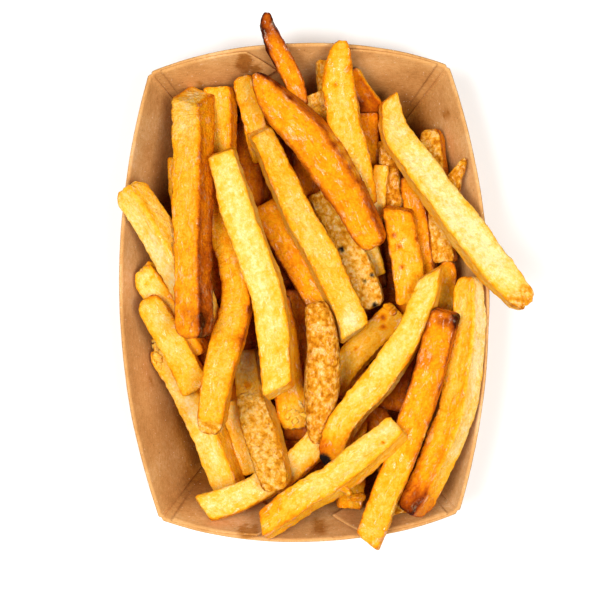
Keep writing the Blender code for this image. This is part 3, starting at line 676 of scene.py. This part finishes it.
def smooth_line(points):
    """A smooth line through the points: evenly spaced places and their distance from the start."""
    line = np.array(points, float)
    if len(line) > 2:
        padded = np.vstack([2 * line[0] - line[1], line, 2 * line[-1] - line[-2]])
        shares = np.linspace(0.0, 1.0, 30, endpoint=False)[:, None]
        parts = []
        for a, b, c, d in zip(padded, padded[1:], padded[2:], padded[3:]):
            parts.append(0.5 * (2 * b + (c - a) * shares + (2 * a - 5 * b + 4 * c - d) * shares**2
                                + (3 * b - a - 3 * c + d) * shares**3))
        line = np.vstack(parts + [line[-1:]])
    reach = np.concatenate([[0.0], np.cumsum(np.hypot(*np.diff(line, axis=0).T))])
    spaced = np.linspace(0.0, reach[-1], int(reach[-1] / STEP) + 1)
    return np.stack([np.interp(spaced, reach, line[:, axis]) for axis in (0, 1)], -1), spaced


def rest_line(places, heights):
    """The straight line that a stiff fry takes on the heights below it: level and slope."""
    hull = []
    for x, y in zip(places, heights):
        while len(hull) > 1:
            (x1, y1), (x2, y2) = hull[-2:]
            if (x2 - x1) * (y - y1) - (y2 - y1) * (x - x1) < 0.0:
                break
            hull.pop()
        hull.append((x, y))
    middle = places[-1] / 2
    for (x1, y1), (x2, y2) in zip(hull, hull[1:]):
        if x1 <= middle <= x2:
            slope = (y2 - y1) / (x2 - x1)
            slope = max(-STEEPEST, min(STEEPEST, slope))
            return (heights - slope * places).max(), slope
    return heights.max(), 0.0


def lay(row, sink, board, heap):
    """Lays one fry on the board and the heap, raises the heap by it, and returns how it lies."""
    name, points, widths, roll, start_end, far_end = row
    line, places = smooth_line(points)
    forward = np.gradient(line, axis=0)
    forward /= np.linalg.norm(forward, axis=1)[:, None]
    left = np.stack([-forward[:, 1], forward[:, 0]], -1)
    full = np.interp(places, np.linspace(0.0, places[-1], len(widths)), widths)
    width = full * np.minimum(np.interp(places, *zip(*ENDS[start_end])),
                              np.interp(places[-1] - places, *zip(*ENDS[far_end])))
    outline = rest_section(roll)
    sideways = np.linspace(outline[:, 0].min(), outline[:, 0].max(), SAMPLES)
    low, high = section_reach(outline, sideways)
    across = sideways[None, :] * width[:, None]
    i = cell_of(line[:, 0, None] + left[:, 0, None] * across)
    j = cell_of(line[:, 1, None] + left[:, 1, None] * across)
    needed = np.maximum(board[i, j], heap[i, j] - sink) - low[None, :] * width[:, None]
    level, slope = rest_line(places, needed.max(axis=1))
    height = level + slope * places
    np.maximum.at(heap, (i, j), height[:, None] + high[None, :] * width[:, None])
    return {"line": line, "left": left, "forward": forward, "places": places, "height": height,
            "slope": slope, "width": full, "roll": roll, "ends": (start_end, far_end)}


board_field = height_field(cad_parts["carton"], CORE_GAP)
heap_field = height_field(plain_core, 0.0)
bpy.data.objects.remove(plain_core, do_unlink=True)
laid = {}
for row in DEEP_FRIES:
    laid[row[0]] = lay(row, DEEP_SINK, board_field, heap_field)
for row in MIDDLE_FRIES + TOP_FRIES:
    laid[row[0]] = lay(row, REST_SINK, board_field, heap_field)

# The shape of one fry
# A stick of potato sawn by a blade: flat faces and crisp edges, which frying turns a little hollow,
# blistered and browned. An end is cut, broken off, rounded or pointed, as the potato's own end is.
SIDE_POINTS = 11
CORNER_POINTS = 4
RING_STEP = 0.62
FINE_ENDS = {
    "cut": ((0.0, 0.84), (0.2, 0.92), (0.6, 0.98), (1.2, 1.0)),
    "broken": ((0.0, 0.66), (0.8, 0.84), (2.5, 1.0)),
    "round": ((0.0, 0.45), (0.35, 0.62), (0.9, 0.77), (2.0, 0.9), (4.5, 1.0)),
    "point": ((0.0, 0.22), (0.9, 0.38), (3.0, 0.62), (8.0, 0.86), (14.0, 1.0)),
}
END_PLACES = (0.0, 0.12, 0.3, 0.55, 0.9, 1.35)
CAP_SHARES = (0.16, 0.38, 0.6, 0.8, 0.93)
SLANT_REACH = 9.0               # mm from an end within which a slanting cut draws the faces back
WANDER = 0.35                   # mm by which a fry strays from its line
TWIST = 5.0                     # degrees
UNEVEN_WIDTH = 0.045            # share of the width
SWELL = 0.40                    # mm that each kind of bump stands out
LUMP = 0.24
BLISTER_RISE = 0.9
FINE_BUMP = 0.14
FRAY = 0.6                      # mm that the sharp edges lose in places
SKIN_LIFT = 0.10
SKIN_CREASE = 0.20
BROKEN_ROUGH = 0.9              # mm that the face of an end is uneven by
CUT_ROUGH = 0.22
CREST_WIDTH = 0.10              # how far an edge's browning reaches, as shares of the fry's width
EDGE_WIDTH = 0.26
# Browning near the edges: partly real browning, partly painted shade of the rounded edges.
EDGE_BROWN_AND_SHADE = 0.14
UNDERSIDE_BROWN = 0.10
END_BROWN = 0.12


def bubbles(points, size, seed):
    """Distance to the nearest of many scattered middles, as a share of their spacing in mm."""
    middles = np.random.default_rng(seed).random((1024, 3))
    scaled = points / size
    cell = np.floor(scaled).astype(np.int64)
    inside = scaled - cell
    nearest = np.full(len(points), 9.0)
    for corner in itertools.product((-1, 0, 1), repeat=3):
        away = corner + middles[scatter(cell + corner)] - inside
        nearest = np.minimum(nearest, (away**2).sum(axis=1))
    return np.sqrt(nearest)


def fine_section(height, corner):
    """Points round a unit section and their outward directions: flat faces and rounded edges."""
    points = []
    outwards = []
    half = (0.5, 0.5 * height)
    for quarter in range(4):
        turn = math.radians(90.0 * quarter)
        face = np.array((math.cos(turn), math.sin(turn)))
        along = np.array((-face[1], face[0]))
        reach, width = (half[0], half[1]) if quarter % 2 == 0 else (half[1], half[0])
        for share in np.linspace(-1.0, 1.0, SIDE_POINTS):
            points.append(face * reach + along * share * (width - corner))
            outwards.append(face)
        centre = face * (reach - corner) + along * (width - corner)
        for step in range(1, CORNER_POINTS + 1):
            angle = turn + math.radians(90.0 * step / (CORNER_POINTS + 1))
            way = np.array((math.cos(angle), math.sin(angle)))
            points.append(centre + way * corner)
            outwards.append(way)
    return np.array(points), np.array(outwards)


def fry_shape(name, seed, tones, left=0.0, right=0.0, edge=0.10, start_cut=(0.0, 0.0), far_cut=(0.0, 0.0),
              blister=0.5, corner=0.125, hollow=0.03, caps=(0.0, 0.0), skins=(), marks=(), burns=(),
              ends=(), turned=0.0, moved=(0.0, 0.0), shorter=(0.0, 0.0)):
    """One fry's points, faces and values.
    tones: browning along its upper face; left, right: what the side faces add, seen from its start.
    start_cut, far_cut: mm by which an end's left side and its top draw back. caps: browning added there.
    skins: (face, from, to) shares with potato skin. marks: (x, y, radius, browning, dent).
    burns: (x, y, radius). ends: its two ends where they differ from the plain fry's.
    turned: more roll in degrees. moved: mm aside. shorter: mm that its two ends fall short by.
    """
    lie = laid[name]
    length = lie["places"][-1]
    near_start = np.array(END_PLACES)
    middle = np.linspace(END_PLACES[-1] + 0.5, length - END_PLACES[-1] - 0.5,
                         max(3, round(length / RING_STEP)))
    stations = np.concatenate([np.zeros(len(CAP_SHARES)), near_start, middle, length - near_start[::-1],
                               np.full(len(CAP_SHARES), length)])
    shares = np.concatenate([CAP_SHARES, np.ones(len(stations) - 2 * len(CAP_SHARES)), CAP_SHARES[::-1]])
    ends = ends or lie["ends"]
    height = section_height(lie["roll"])
    unit, outwards = fine_section(height, corner)
    around = len(unit)
    rings = len(stations)

    def at(values):
        return np.interp(stations, lie["places"], values)

    width = at(lie["width"]) * np.minimum(np.interp(stations, *zip(*FINE_ENDS[ends[0]])),
                                          np.interp(length - stations, *zip(*FINE_ENDS[ends[1]])))
    offset = np.array((seed * 41.0, seed * 17.0, seed * 29.0))
    along_line = np.column_stack([stations, np.zeros(rings), np.zeros(rings)]) + offset
    width = width * (1.0 + UNEVEN_WIDTH * drift(along_line, 10.0, 21))
    wander = WANDER * drift(along_line, 13.0, 20)
    wander = wander * np.minimum(1.0, np.minimum(stations, length - stations) / 6.0)
    twist = np.radians(TWIST * drift(along_line, 40.0, 22))
    s = np.repeat(stations, around)
    share = np.repeat(shares, around)
    w = np.repeat(width, around)
    flat = np.tile(unit, (rings, 1)) * w[:, None]
    out = np.tile(outwards, (rings, 1))
    local = np.column_stack([s, flat * share[:, None]]) + offset
    right_face, bottom = np.maximum(-out.T, 0.0)**2
    left_face, top = np.maximum(out.T, 0.0)**2
    corners = np.array([(x * 0.5, y * 0.5 * height) for x in (-1, 1) for y in (-1, 1)])
    to_corner = np.min([np.hypot(*(unit - place).T) for place in corners], axis=0)
    crest, near_edge = [np.tile(np.exp(-(to_corner / reach)**2), rings)
                        for reach in (CREST_WIDTH, EDGE_WIDTH)]

    # Potato skin, with an uneven edge where the blade left it.
    skin = np.zeros(len(s))
    faces_by_name = {"top": top, "left": left_face, "right": right_face, "all": np.ones(len(s))}
    for face, begin, end in skins:
        inside = np.minimum(s / length - begin, end - s / length) * length
        inside = inside + 0.9 * drift(local, 2.2, 31)
        cover = np.clip(inside / 0.8 + 0.5, 0.0, 1.0) * np.clip(faces_by_name[face] * 2.0 - 0.3, 0.0, 1.0)
        skin = np.maximum(skin, cover)

    # Frying: the faces hollow, the crust blisters, the edges fray, and skin wrinkles lengthwise.
    sag = (top + bottom) * (1.0 - (np.tile(unit[:, 0], rings) / 0.5)**2)
    sag = sag + (left_face + right_face) * (1.0 - (np.tile(unit[:, 1], rings) / (0.5 * height))**2)
    swell = drift(local * (0.5, 1.0, 1.0), 7.5, 23)
    lumps = drift(local, 3.4, 24)
    domes = np.clip(0.62 - bubbles(local, 2.1, 25), 0.0, 1.0)
    blistered = np.clip(drift(local, 9.0, 26) + 0.35, 0.0, 1.0) * blister
    fine = drift(local, 1.25, 27)
    creases = np.abs(drift(local * (0.6, 1.0, 1.0), 2.0, 28))
    push = -hollow * w * sag + SWELL * swell + LUMP * lumps
    push = push + BLISTER_RISE * domes * blistered + FINE_BUMP * fine
    push = push - crest * np.clip(drift(local, 1.8, 29), 0.0, 1.0) * FRAY
    push = push + skin * (SKIN_LIFT - SKIN_CREASE * creases)
    flat = (flat + out * push[:, None]) * share[:, None]

    # The cut ends: drawn back at an angle, a little hollow, ragged where the fry broke.
    start_fade = np.clip(1.0 - s / SLANT_REACH, 0.0, 1.0)
    far_fade = np.clip(1.0 - (length - s) / SLANT_REACH, 0.0, 1.0)
    turn = np.radians(lie["roll"] + turned) + np.repeat(twist, around)
    across = flat[:, 0] * np.cos(turn) - flat[:, 1] * np.sin(turn)
    up = flat[:, 0] * np.sin(turn) + flat[:, 1] * np.cos(turn)
    half = 0.5 * np.repeat(at(lie["width"]), around)
    slide = start_fade * (start_cut[0] * across + start_cut[1] * up) / half
    slide = slide - far_fade * (far_cut[0] * across + far_cut[1] * up) / half
    slide = slide + start_fade * shorter[0] - far_fade * shorter[1]
    rough = [BROKEN_ROUGH if end == "broken" else CUT_ROUGH for end in ends]
    ragged = drift(local * (0.0, 1.0, 1.0), 1.7, 30)
    close = np.clip(1.0 - s / 3.0, 0.0, 1.0), np.clip(1.0 - (length - s) / 3.0, 0.0, 1.0)
    slide = slide + rough[0] * ragged * close[0] + rough[1] * ragged * close[1]

    x, y = [np.repeat(at(lie["line"][:, axis]) + at(lie["left"][:, axis]) * wander, around)
            + np.repeat(at(lie["left"][:, axis]), around) * across
            + np.repeat(at(lie["forward"][:, axis]), around) * slide + moved[axis] for axis in (0, 1)]
    z = np.repeat(at(lie["height"]), around) + up + lie["slope"] * slide

    # Browning: more on the edges, where a broad band of it is also painted shade of the rounded edges, and in
    # patches; less on blister tops, which is partly painted highlight.
    brown = np.interp(s / length, np.linspace(0.0, 1.0, len(tones)), tones)
    brown = brown + (left * left_face + right * right_face + UNDERSIDE_BROWN * bottom) * share**4
    brown = brown + edge * crest * (0.6 + 0.8 * np.clip(drift(local, 4.0, 32), -0.6, 1.0))
    # Painted shade, partly real browning: a broad darker band near every edge.
    brown = brown + EDGE_BROWN_AND_SHADE * near_edge - 0.05
    # Lighter blister tops: partly a painted highlight.
    brown = brown + 0.07 * drift(local, 6.5, 33) + 0.04 * drift(local, 2.4, 34) - 0.10 * domes * blistered
    on_cap = share < 1.0
    brown = brown + np.where(on_cap & (s < 1.0), caps[0], 0.0) + np.where(on_cap & (s > 1.0), caps[1], 0.0)
    rim = np.exp(-(np.minimum(s, length - s) / 0.9)**2) * (share > 0.9)
    brown = brown + END_BROWN * rim
    burnt = np.zeros(len(s))
    for mark_x, mark_y, radius, amount, dent in marks:
        away = np.hypot(x - mark_x, y - mark_y) / radius + 0.25 * drift(local, 1.4, 35)
        near = np.exp(-np.maximum(away, 0.0)**3) * (up > -0.2 * half)
        brown = brown + amount * near
        z = z - dent * near
    for burn_x, burn_y, radius in burns:
        away = np.hypot(x - burn_x, y - burn_y) + 0.5 * drift(local, 1.2, 36)
        burnt = np.maximum(burnt, np.clip((radius - away) / 0.7 + 0.5, 0.0, 1.0))

    points = np.column_stack([x, y, z])
    values = {"points": points, "browning": brown, "skin": skin, "burnt": burnt, "in_fry": local}
    for key, numbers in values.items():
        first, last = numbers[:around].mean(axis=0), numbers[-around:].mean(axis=0)
        values[key] = np.concatenate([[first], numbers, [last]])
    return values.pop("points"), loft(rings, around), values


def batch_of_fries(piece_name, finish, looks, first_seed):
    """All fries of one kind as one piece."""
    points = []
    faces = []
    values = {"browning": [], "skin": [], "burnt": [], "in_fry": []}
    count = 0
    for index, (name, look) in enumerate(looks.items()):
        fry_points, fry_faces, fry_values = fry_shape(name, first_seed + index, **look)
        points.append(fry_points)
        faces += [tuple(corner + count for corner in face) for face in fry_faces]
        count += len(fry_points)
        for key in values:
            values[key].append(fry_values[key])
    joined = {key: np.concatenate(numbers) for key, numbers in values.items()}
    return new_piece(piece_name, np.vstack(points), faces, finish, joined, ("fries",))


# Pale fries
# Fries that were fried least, or lay on top of the basket: cream to pale yellow, floury, with only
# their edges and ends turned golden.
PALE_FRIES = {
    "pale_centre": dict(tones=(0.18, 0.10, 0.12, 0.13, 0.16, 0.22, 0.26), left=0.12, right=0.12, edge=0.08,
                        start_cut=(-0.3, 0.6), far_cut=(1.8, 1.6), blister=0.3, caps=(0.1, -0.04)),
    "pale_right": dict(tones=(0.24, 0.14, 0.07, 0.05, 0.03, 0.04, 0.08, 0.14), left=0.05, right=0.20,
                       edge=0.07, blister=0.3, caps=(0.1, 0.2), ends=("cut", "broken"), start_cut=(-1.6, 0.4),
                       skins=(("all", 0.93, 1.2),), marks=((63.6, -4.4, 4.0, 0.45, 0.0),)),
    "pale_gold_right": dict(tones=(0.18, 0.18, 0.20, 0.24, 0.24, 0.34, 0.50), left=0.14, right=0.06,
                            edge=0.09, ends=("cut", "round"), start_cut=(-3.0, 0.4),
                            skins=(("left", 0.45, 0.97),), marks=((4.6, -46.0, 3.2, 0.25, 0.0),),
                            burns=((4.6, -50.0, 2.3),)),
    "front_pale": dict(tones=(0.14, 0.16, 0.20, 0.22, 0.28, 0.30), left=0.16, right=0.1, edge=0.1,
                       far_cut=(-1.4, -1.0), shorter=(0.0, 0.6),
                       marks=((21.8, -44.1, 0.5, 0.6, 0.1), (-13.6, -64.4, 2.6, 0.24, 0.0),
                              (-9.6, -61.4, 2.2, 0.22, 0.0), (-5.0, -59.0, 2.0, 0.16, 0.0))),
    "pale_low_left": dict(tones=(0.26, 0.22, 0.17, 0.13, 0.13, 0.18), left=0.28, right=0.0, edge=0.14,
                          far_cut=(1.3, 0.5), blister=0.3, ends=("cut", "cut")),
    "pale_left_low": dict(tones=(0.26, 0.14, 0.14, 0.16, 0.22), left=0.22, right=0.05, edge=0.06,
                          blister=0.3, hollow=0.02),
    "pale_left_top": dict(tones=(0.14, 0.10, 0.06, 0.08, 0.14), left=0.12, right=0.05, edge=0.1,
                          blister=0.3, ends=("broken", "cut"), caps=(0.1, 0.0)),
    "pale_left_middle": dict(tones=(0.14, 0.22, 0.34), left=0.20, right=0.0, edge=0.14,
                             start_cut=(-1.0, 0.5), moved=(-1.3, 1.6), ends=("broken", "cut"),
                             marks=((-46.6, 3.3, 0.6, 0.3, 0.05), (-45.0, 5.4, 0.5, 0.3, 0.05))),
    "pale_right_low": dict(tones=(0.30, 0.30, 0.34, 0.38, 0.48, 0.66), left=-0.26, right=0.1, edge=0.1,
                           hollow=0.04, marks=((33.5, -64.0, 7.0, 0.3, 0.0),)),
    "pale_slim_top": dict(tones=(0.30, 0.14, 0.12), left=0.1, right=0.35, edge=0.08, blister=0.2),
    "pale_stub": dict(tones=(0.2, 0.12, 0.2), left=0.1, right=0.2, edge=0.05, blister=0.2),
    # pale_edge_top: its dark browning is painted shade on its side, and its paler left side is a painted
    # highlight on its top edge.
    "pale_edge_top": dict(tones=(0.62, 0.78, 0.9), left=-0.5, right=0.1, edge=0.0,
                          marks=((17.0, 56.0, 2.5, 0.2, 0.0),)),
}

# Hardly crusted and almost dry, so it looks soft and matt.
lightly_fried = fried_potato("lightly_fried_potato", 0.5, 0.5, 0.6)
batch_of_fries("fries_pale", lightly_fried, PALE_FRIES, 1)

# Golden fries
# Fries that came out as they should: yellow to gold, with a thin blistered crust and orange edges.
GOLDEN_FRIES = {
    "gold_top": dict(tones=(0.36, 0.26, 0.24, 0.24, 0.26, 0.34), left=0.16, right=0.12, edge=0.26,
                     blister=0.7, turned=-30.0,
                     marks=((10.4, 60.6, 0.9, 0.4, 0.1), (14.4, 65.0, 1.2, 0.25, 0.0))),
    "gold_centre": dict(tones=(0.22, 0.32, 0.24, 0.22, 0.26, 0.18), left=0.12, right=0.04, edge=0.16,
                        start_cut=(0.0, 1.2), far_cut=(1.2, 0.6), turned=20.0, moved=(0.6, 0.3),
                        marks=((13.6, -7.2, 2.6, -0.2, 0.0), (12.4, -10.6, 2.4, -0.2, 0.0))),
    "gold_behind_left": dict(tones=(0.32, 0.34, 0.38), left=0.22, right=0.0, edge=0.14, blister=0.3,
                             moved=(-0.8, 0.0)),
    "gold_right": dict(tones=(0.50, 0.46, 0.46), left=0.2, right=0.2, edge=0.2, blister=0.4),
    "speckled_gold_right": dict(tones=(0.46, 0.36, 0.34, 0.36), left=0.05, right=0.2, edge=0.12,
                                start_cut=(1.5, 1.0),
                                marks=((28.4, 13.0, 0.9, 0.4, 0.1), (29.1, 6.8, 0.9, 0.45, 0.1),
                                       (31.6, 0.0, 1.8, 0.16, 0.0), (27.0, 16.2, 0.9, 0.35, 0.1),
                                       (33.5, 15.0, 0.8, 0.3, 0.1))),
    "gold_cross_low": dict(tones=(0.36, 0.30, 0.28, 0.30), left=0.06, right=0.2, edge=0.1, blister=0.3,
                           marks=((23.5, -8.0, 1.1, 0.5, 0.1), (23.4, -10.9, 1.0, 0.5, 0.1),
                                  (15.1, -17.2, 0.7, 0.5, 0.1))),
    "gold_low_left": dict(tones=(0.22, 0.22, 0.24), left=0.1, right=0.1, edge=0.1),
    "gold_left_middle": dict(tones=(0.20, 0.22, 0.26, 0.30), left=0.1, right=0.05, edge=0.12, blister=0.6,
                             moved=(-0.5, 0.5),
                             marks=((-45.6, -0.5, 1.6, 0.25, 0.0), (-42.0, 0.4, 1.4, 0.3, 0.0))),
    "olive_left": dict(tones=(0.26, 0.28), left=0.1, right=0.1, edge=0.1, blister=0.3, moved=(2.8, 0.0)),
    "olive_top": dict(tones=(0.34, 0.30, 0.30), left=0.1, right=0.1, edge=0.12),
    "overhang_low": dict(tones=(0.60, 0.50, 0.48, 0.44, 0.34, 0.30, 0.28), left=0.15, right=0.2, edge=0.2,
                         start_cut=(0.0, 0.8), far_cut=(-1.2, 0.3), shorter=(0.0, 1.9), blister=0.45,
                         skins=(("left", 0.46, 0.53), ("left", 0.72, 0.84)),
                         marks=((44.0, -9.1, 2.6, 0.25, 0.0), (40.0, -9.5, 2.0, 0.2, 0.0),
                                (35.0, -21.0, 2.6, 0.16, 0.0))),
    "bent_left": dict(tones=(0.50, 0.46, 0.40, 0.40, 0.34, 0.30, 0.30, 0.34), left=0.18, right=0.2, edge=0.16,
                      blister=0.7, skins=(("all", 0.955, 1.2),),
                      marks=((-16.4, -4.6, 1.7, 0.2, 0.9), (-19.0, -13.0, 3.0, 0.16, 0.0),
                             (-28.6, -41.4, 2.4, 0.3, 0.0))),
}

# A crisp, uneven crust with glints of oil on its streaks.
golden_fried = fried_potato("golden_fried_potato", 0.68, 0.45, 1.0)
batch_of_fries("fries_golden", golden_fried, GOLDEN_FRIES, 21)

# Well-browned fries
# Fries that were fried longest or lay against the hot side of the basket: orange to red-brown, with a
# hard blistered crust and dark ends.
BROWNED_FRIES = {
    "long_brown": dict(tones=(0.16, 0.20, 0.32, 0.36, 0.41, 0.46, 0.54), left=0.36, right=0.22, edge=0.1,
                       shorter=(2.6, 0.0), start_cut=(0.0, 3.0), caps=(-0.04, 0.1), blister=0.6,
                       marks=((-33.6, -4.4, 2.2, 0.14, 0.0), (-30.7, -7.4, 2.6, 0.16, 0.0))),
    # orange_diagonal: the four marks with negative browning along its ridge are a painted highlight.
    "orange_diagonal": dict(tones=(0.56, 0.48, 0.46, 0.50, 0.54, 0.50, 0.44), left=0.24, right=0.2, edge=0.24,
                            blister=0.5, hollow=0.02, corner=0.2, ends=("point", "round"),
                            marks=((-10.6, 64.4, 2.0, 0.2, 0.0), (-6.4, 61.4, 1.2, 0.18, 0.0),
                                   (-2.6, 57.2, 1.0, 0.18, 0.0), (9.6, 45.5, 1.5, -0.32, 0.0),
                                   (11.8, 42.2, 1.5, -0.36, 0.0), (14.0, 38.8, 1.5, -0.36, 0.0),
                                   (16.4, 35.2, 1.6, -0.32, 0.0))),
    "orange_centre": dict(tones=(0.50, 0.50, 0.48), left=0.1, right=0.2, edge=0.14),
    "orange_low_centre": dict(tones=(0.62, 0.46, 0.42, 0.42, 0.26), left=0.2, right=0.2, edge=0.12,
                              caps=(0.0, -0.1)),
    "orange_right": dict(tones=(0.46, 0.46, 0.46, 0.46), left=0.15, right=0.2, edge=0.16,
                         skins=(("top", -0.1, 1.2),)),
    "dark_curled_top": dict(tones=(0.82, 0.76, 0.60, 0.54, 0.56, 0.60), left=0.12, right=0.26, edge=0.18,
                            blister=0.8, marks=((-10.2, 76.5, 2.0, 0.16, 0.1), (-9.6, 71.5, 1.6, 0.2, 0.1),
                                                (-8.0, 67.0, 1.2, 0.2, 0.0))),
    "dark_short_right": dict(tones=(0.50, 0.36, 0.36), left=0.05, right=0.2, edge=0.16),
    "brown_short_top": dict(tones=(0.60, 0.60), left=0.15, right=0.15, edge=0.1),
    "small_end_low": dict(tones=(0.44, 0.42, 0.40), left=0.15, right=0.15, edge=0.1, blister=0.8),
}

# The hardest crust, with the same glints of oil on a darker ground.
well_browned = fried_potato("well_browned_fried_potato", 0.7, 0.42, 1.0)
batch_of_fries("fries_browned", well_browned, BROWNED_FRIES, 41)

# Fries with skin
# Outer cuts of the potato, fried with their skin on: one side is thin brown skin that has wrinkled and
# shines with oil, and it has small grey eyes where the potato had them.
SKIN_FRIES = {
    "spotted_skin": dict(tones=(0.12, 0.22, 0.30, 0.36, 0.38), left=-0.02, right=0.2, edge=0.1, blister=0.5,
                         skins=(("top", 0.3, 1.2),), marks=((-17.6, -27.5, 1.2, 0.5, 0.0),)),
    "skin_spindle": dict(tones=(0.56, 0.52, 0.50, 0.54), left=0.05, right=0.05, edge=0.1, blister=0.7,
                         corner=0.28, hollow=-0.03, skins=(("all", -0.1, 1.2),)),
    "spotted_skin_centre": dict(tones=(0.46, 0.34, 0.30, 0.30), left=-0.1, right=0.15, edge=0.08,
                                corner=0.2, skins=(("top", -0.1, 1.2),),
                                burns=((11.4, 12.8, 0.8), (18.2, 2.9, 0.7), (20.6, 4.6, 0.7),
                                       (21.2, -4.2, 0.8))),
    "skin_sliver_top": dict(tones=(0.5, 0.5), skins=(("all", -0.1, 1.2),), corner=0.25),
    "skin_end_top": dict(tones=(0.34, 0.26, 0.26), left=0.1, skins=(("all", -0.1, 0.2),)),
    "brown_skin_right": dict(tones=(0.7, 0.66), skins=(("all", -0.1, 1.2),), corner=0.2),
    "skin_tip_right": dict(tones=(0.6, 0.56), skins=(("all", -0.1, 1.2),), corner=0.2),
    "skin_low_right": dict(tones=(0.6, 0.6), skins=(("all", -0.1, 1.2),), corner=0.2),
}

# The smoothest and most oiled, so that the skin's wrinkles shine.
skin_on = fried_potato("skin_on_fried_potato", 0.75, 0.34, 1.0)
batch_of_fries("fries_skin_on", skin_on, SKIN_FRIES, 61)

# Sunken fries
# The fries right under those that show, seen only through the gaps between them. Their dark browning is
# painted shade.
SUNKEN_FRIES = {row[0]: dict(tones=(0.74, 0.70, 0.74), left=0.08, right=0.08, edge=0.1)
                for row in DEEP_FRIES}
batch_of_fries("fries_sunken", shaded_potato, SUNKEN_FRIES, 81)

# Crumbs
# Bits that broke off the fries: grains of soft potato at two broken ends, and scraps of hard brown crust
# that lie on a fry and on the board. Each is a small lumpy ball, in mm: x, y, size, browning.
CRUMBS = ((25.4, -4.6, 2.4, 0.48), (26.9, -6.6, 1.7, 0.52), (24.0, -5.4, 1.1, 0.46),
          (10.6, -58.2, 2.6, 0.44), (14.3, -61.2, 3.2, 0.46), (12.2, -60.4, 1.6, 0.50),
          (-44.2, -15.6, 2.8, 0.20), (-43.8, -18.4, 2.6, 0.24), (-45.2, -13.4, 1.8, 0.20),
          (-45.0, -17.6, 1.4, 0.24), (-43.4, -20.6, 2.0, 0.24), (-45.6, -15.2, 1.3, 0.20),
          (-3.6, -35.4, 2.6, 0.18), (-5.8, -36.8, 2.2, 0.22), (-1.8, -33.6, 2.4, 0.18),
          (-0.6, -36.4, 2.0, 0.22), (-3.4, -38.0, 2.0, 0.26), (-6.6, -34.4, 1.6, 0.22))
CRUMB_RINGS = 9
CRUMB_AROUND = 14
CRUMB_SHAPE = (1.1, 0.8, 0.5)   # how much of its size a crumb has lengthwise, across and upwards

crumb_points = []
crumb_faces = []
crumb_brown = []
crumb_places = []
for index, (x, y, size, tone) in enumerate(CRUMBS):
    ball = [(0.0, 0.0, -1.0)]
    for ring in range(1, CRUMB_RINGS + 1):
        tilt = math.pi * ring / (CRUMB_RINGS + 1)
        for step in range(CRUMB_AROUND):
            turn = 2.0 * math.pi * step / CRUMB_AROUND
            ball.append((math.sin(tilt) * math.cos(turn), math.sin(tilt) * math.sin(turn), -math.cos(tilt)))
    ball.append((0.0, 0.0, 1.0))
    ball = np.array(ball)
    here = ball * 0.5 * size + index * 31.0
    reach = 1.0 + 0.9 * drift(here, 0.8 * size, 51) + 0.5 * drift(here, 0.3 * size, 52)
    swollen = ball * (0.5 * size * reach)[:, None] * CRUMB_SHAPE
    turn = turn_by(47.0 * index)
    swollen[:, :2] = swollen[:, :2] @ turn.T
    lies_at = max(board_field[cell_of(x), cell_of(y)], heap_field[cell_of(x), cell_of(y)]) + 0.05 * size
    crumb_faces += [tuple(corner + len(crumb_brown) for corner in face)
                    for face in loft(CRUMB_RINGS, CRUMB_AROUND)]
    crumb_points.append(swollen + (x, y, lies_at))
    crumb_brown += (tone + 0.08 * drift(here, 0.7, 53)).tolist()
    crumb_places.append(here)
nothing = np.zeros(len(crumb_brown))
new_piece("fries_crumbs", np.vstack(crumb_points), crumb_faces, golden_fried,
          {"browning": crumb_brown, "skin": nothing, "burnt": nothing, "in_fry": np.vstack(crumb_places)},
          ("fries",))

# The floor and the light
# A white table under two soft boxes, the stronger one on the left, in a pale room, as in a packshot. Both
# stand aside of the camera, so that oily faces glint where they tilt and level ones don't.
FLOOR_HALF = 3.0
FLOOR_DROP = 0.0002
SOFT_BOXES = (("left_soft_box", (-0.32, -0.02, 1.05), 10.0),
              ("right_soft_box", (0.30, -0.16, 1.08), 8.8))
TABLE_STOPS = ((0.0, "#F7F7F6"), (1.0, "#FCFCFB"))
SOFT_BOX_SIZE = 0.36
ROOM_STRENGTH = 0.26

floor_mesh = bpy.data.meshes.new("floor")
floor_corners = [(x * FLOOR_HALF, y * FLOOR_HALF, -FLOOR_DROP)
                 for x, y in ((-1, -1), (1, -1), (1, 1), (-1, 1))]
floor_mesh.from_pydata(floor_corners, [], [(0, 1, 2, 3)])

# White laminate: almost even and dull, so that it gives a clean ground and soft shadows.
white_table = bpy.data.materials.new("white_laminate_table")
white_table.use_nodes = True
tree = white_table.node_tree
place = add_node(tree, "TexCoord", output="Object")
sheen = add_node(tree, "TexNoise", {"Vector": place, "Scale": 40.0})
pale = add_node(tree, "ValToRGB", {"Fac": sheen}, stops=TABLE_STOPS)
tree.links.new(pale, tree.nodes["Principled BSDF"].inputs["Base Color"])
tree.nodes["Principled BSDF"].inputs["Roughness"].default_value = 0.6
floor_mesh.materials.append(white_table)
floor = bpy.data.objects.new("floor", floor_mesh)
bpy.context.scene.collection.objects.link(floor)

for lamp_name, lamp_place, watts in SOFT_BOXES:
    lamp_data = bpy.data.lights.new(lamp_name, "AREA")
    lamp_data.shape = "SQUARE"
    lamp_data.size = SOFT_BOX_SIZE
    lamp_data.energy = watts
    lamp = bpy.data.objects.new(lamp_name, lamp_data)
    lamp.location = lamp_place
    lamp.rotation_euler = (-Vector(lamp_place)).to_track_quat("-Z", "Y").to_euler()
    bpy.context.scene.collection.objects.link(lamp)

room = bpy.data.worlds.new("pale_room")
room.use_nodes = True
room.node_tree.nodes["Background"].inputs["Color"].default_value = linear("#FFFFFF")
room.node_tree.nodes["Background"].inputs["Strength"].default_value = ROOM_STRENGTH
bpy.context.scene.world = room
bpy.context.scene.view_settings.view_transform = "Standard"
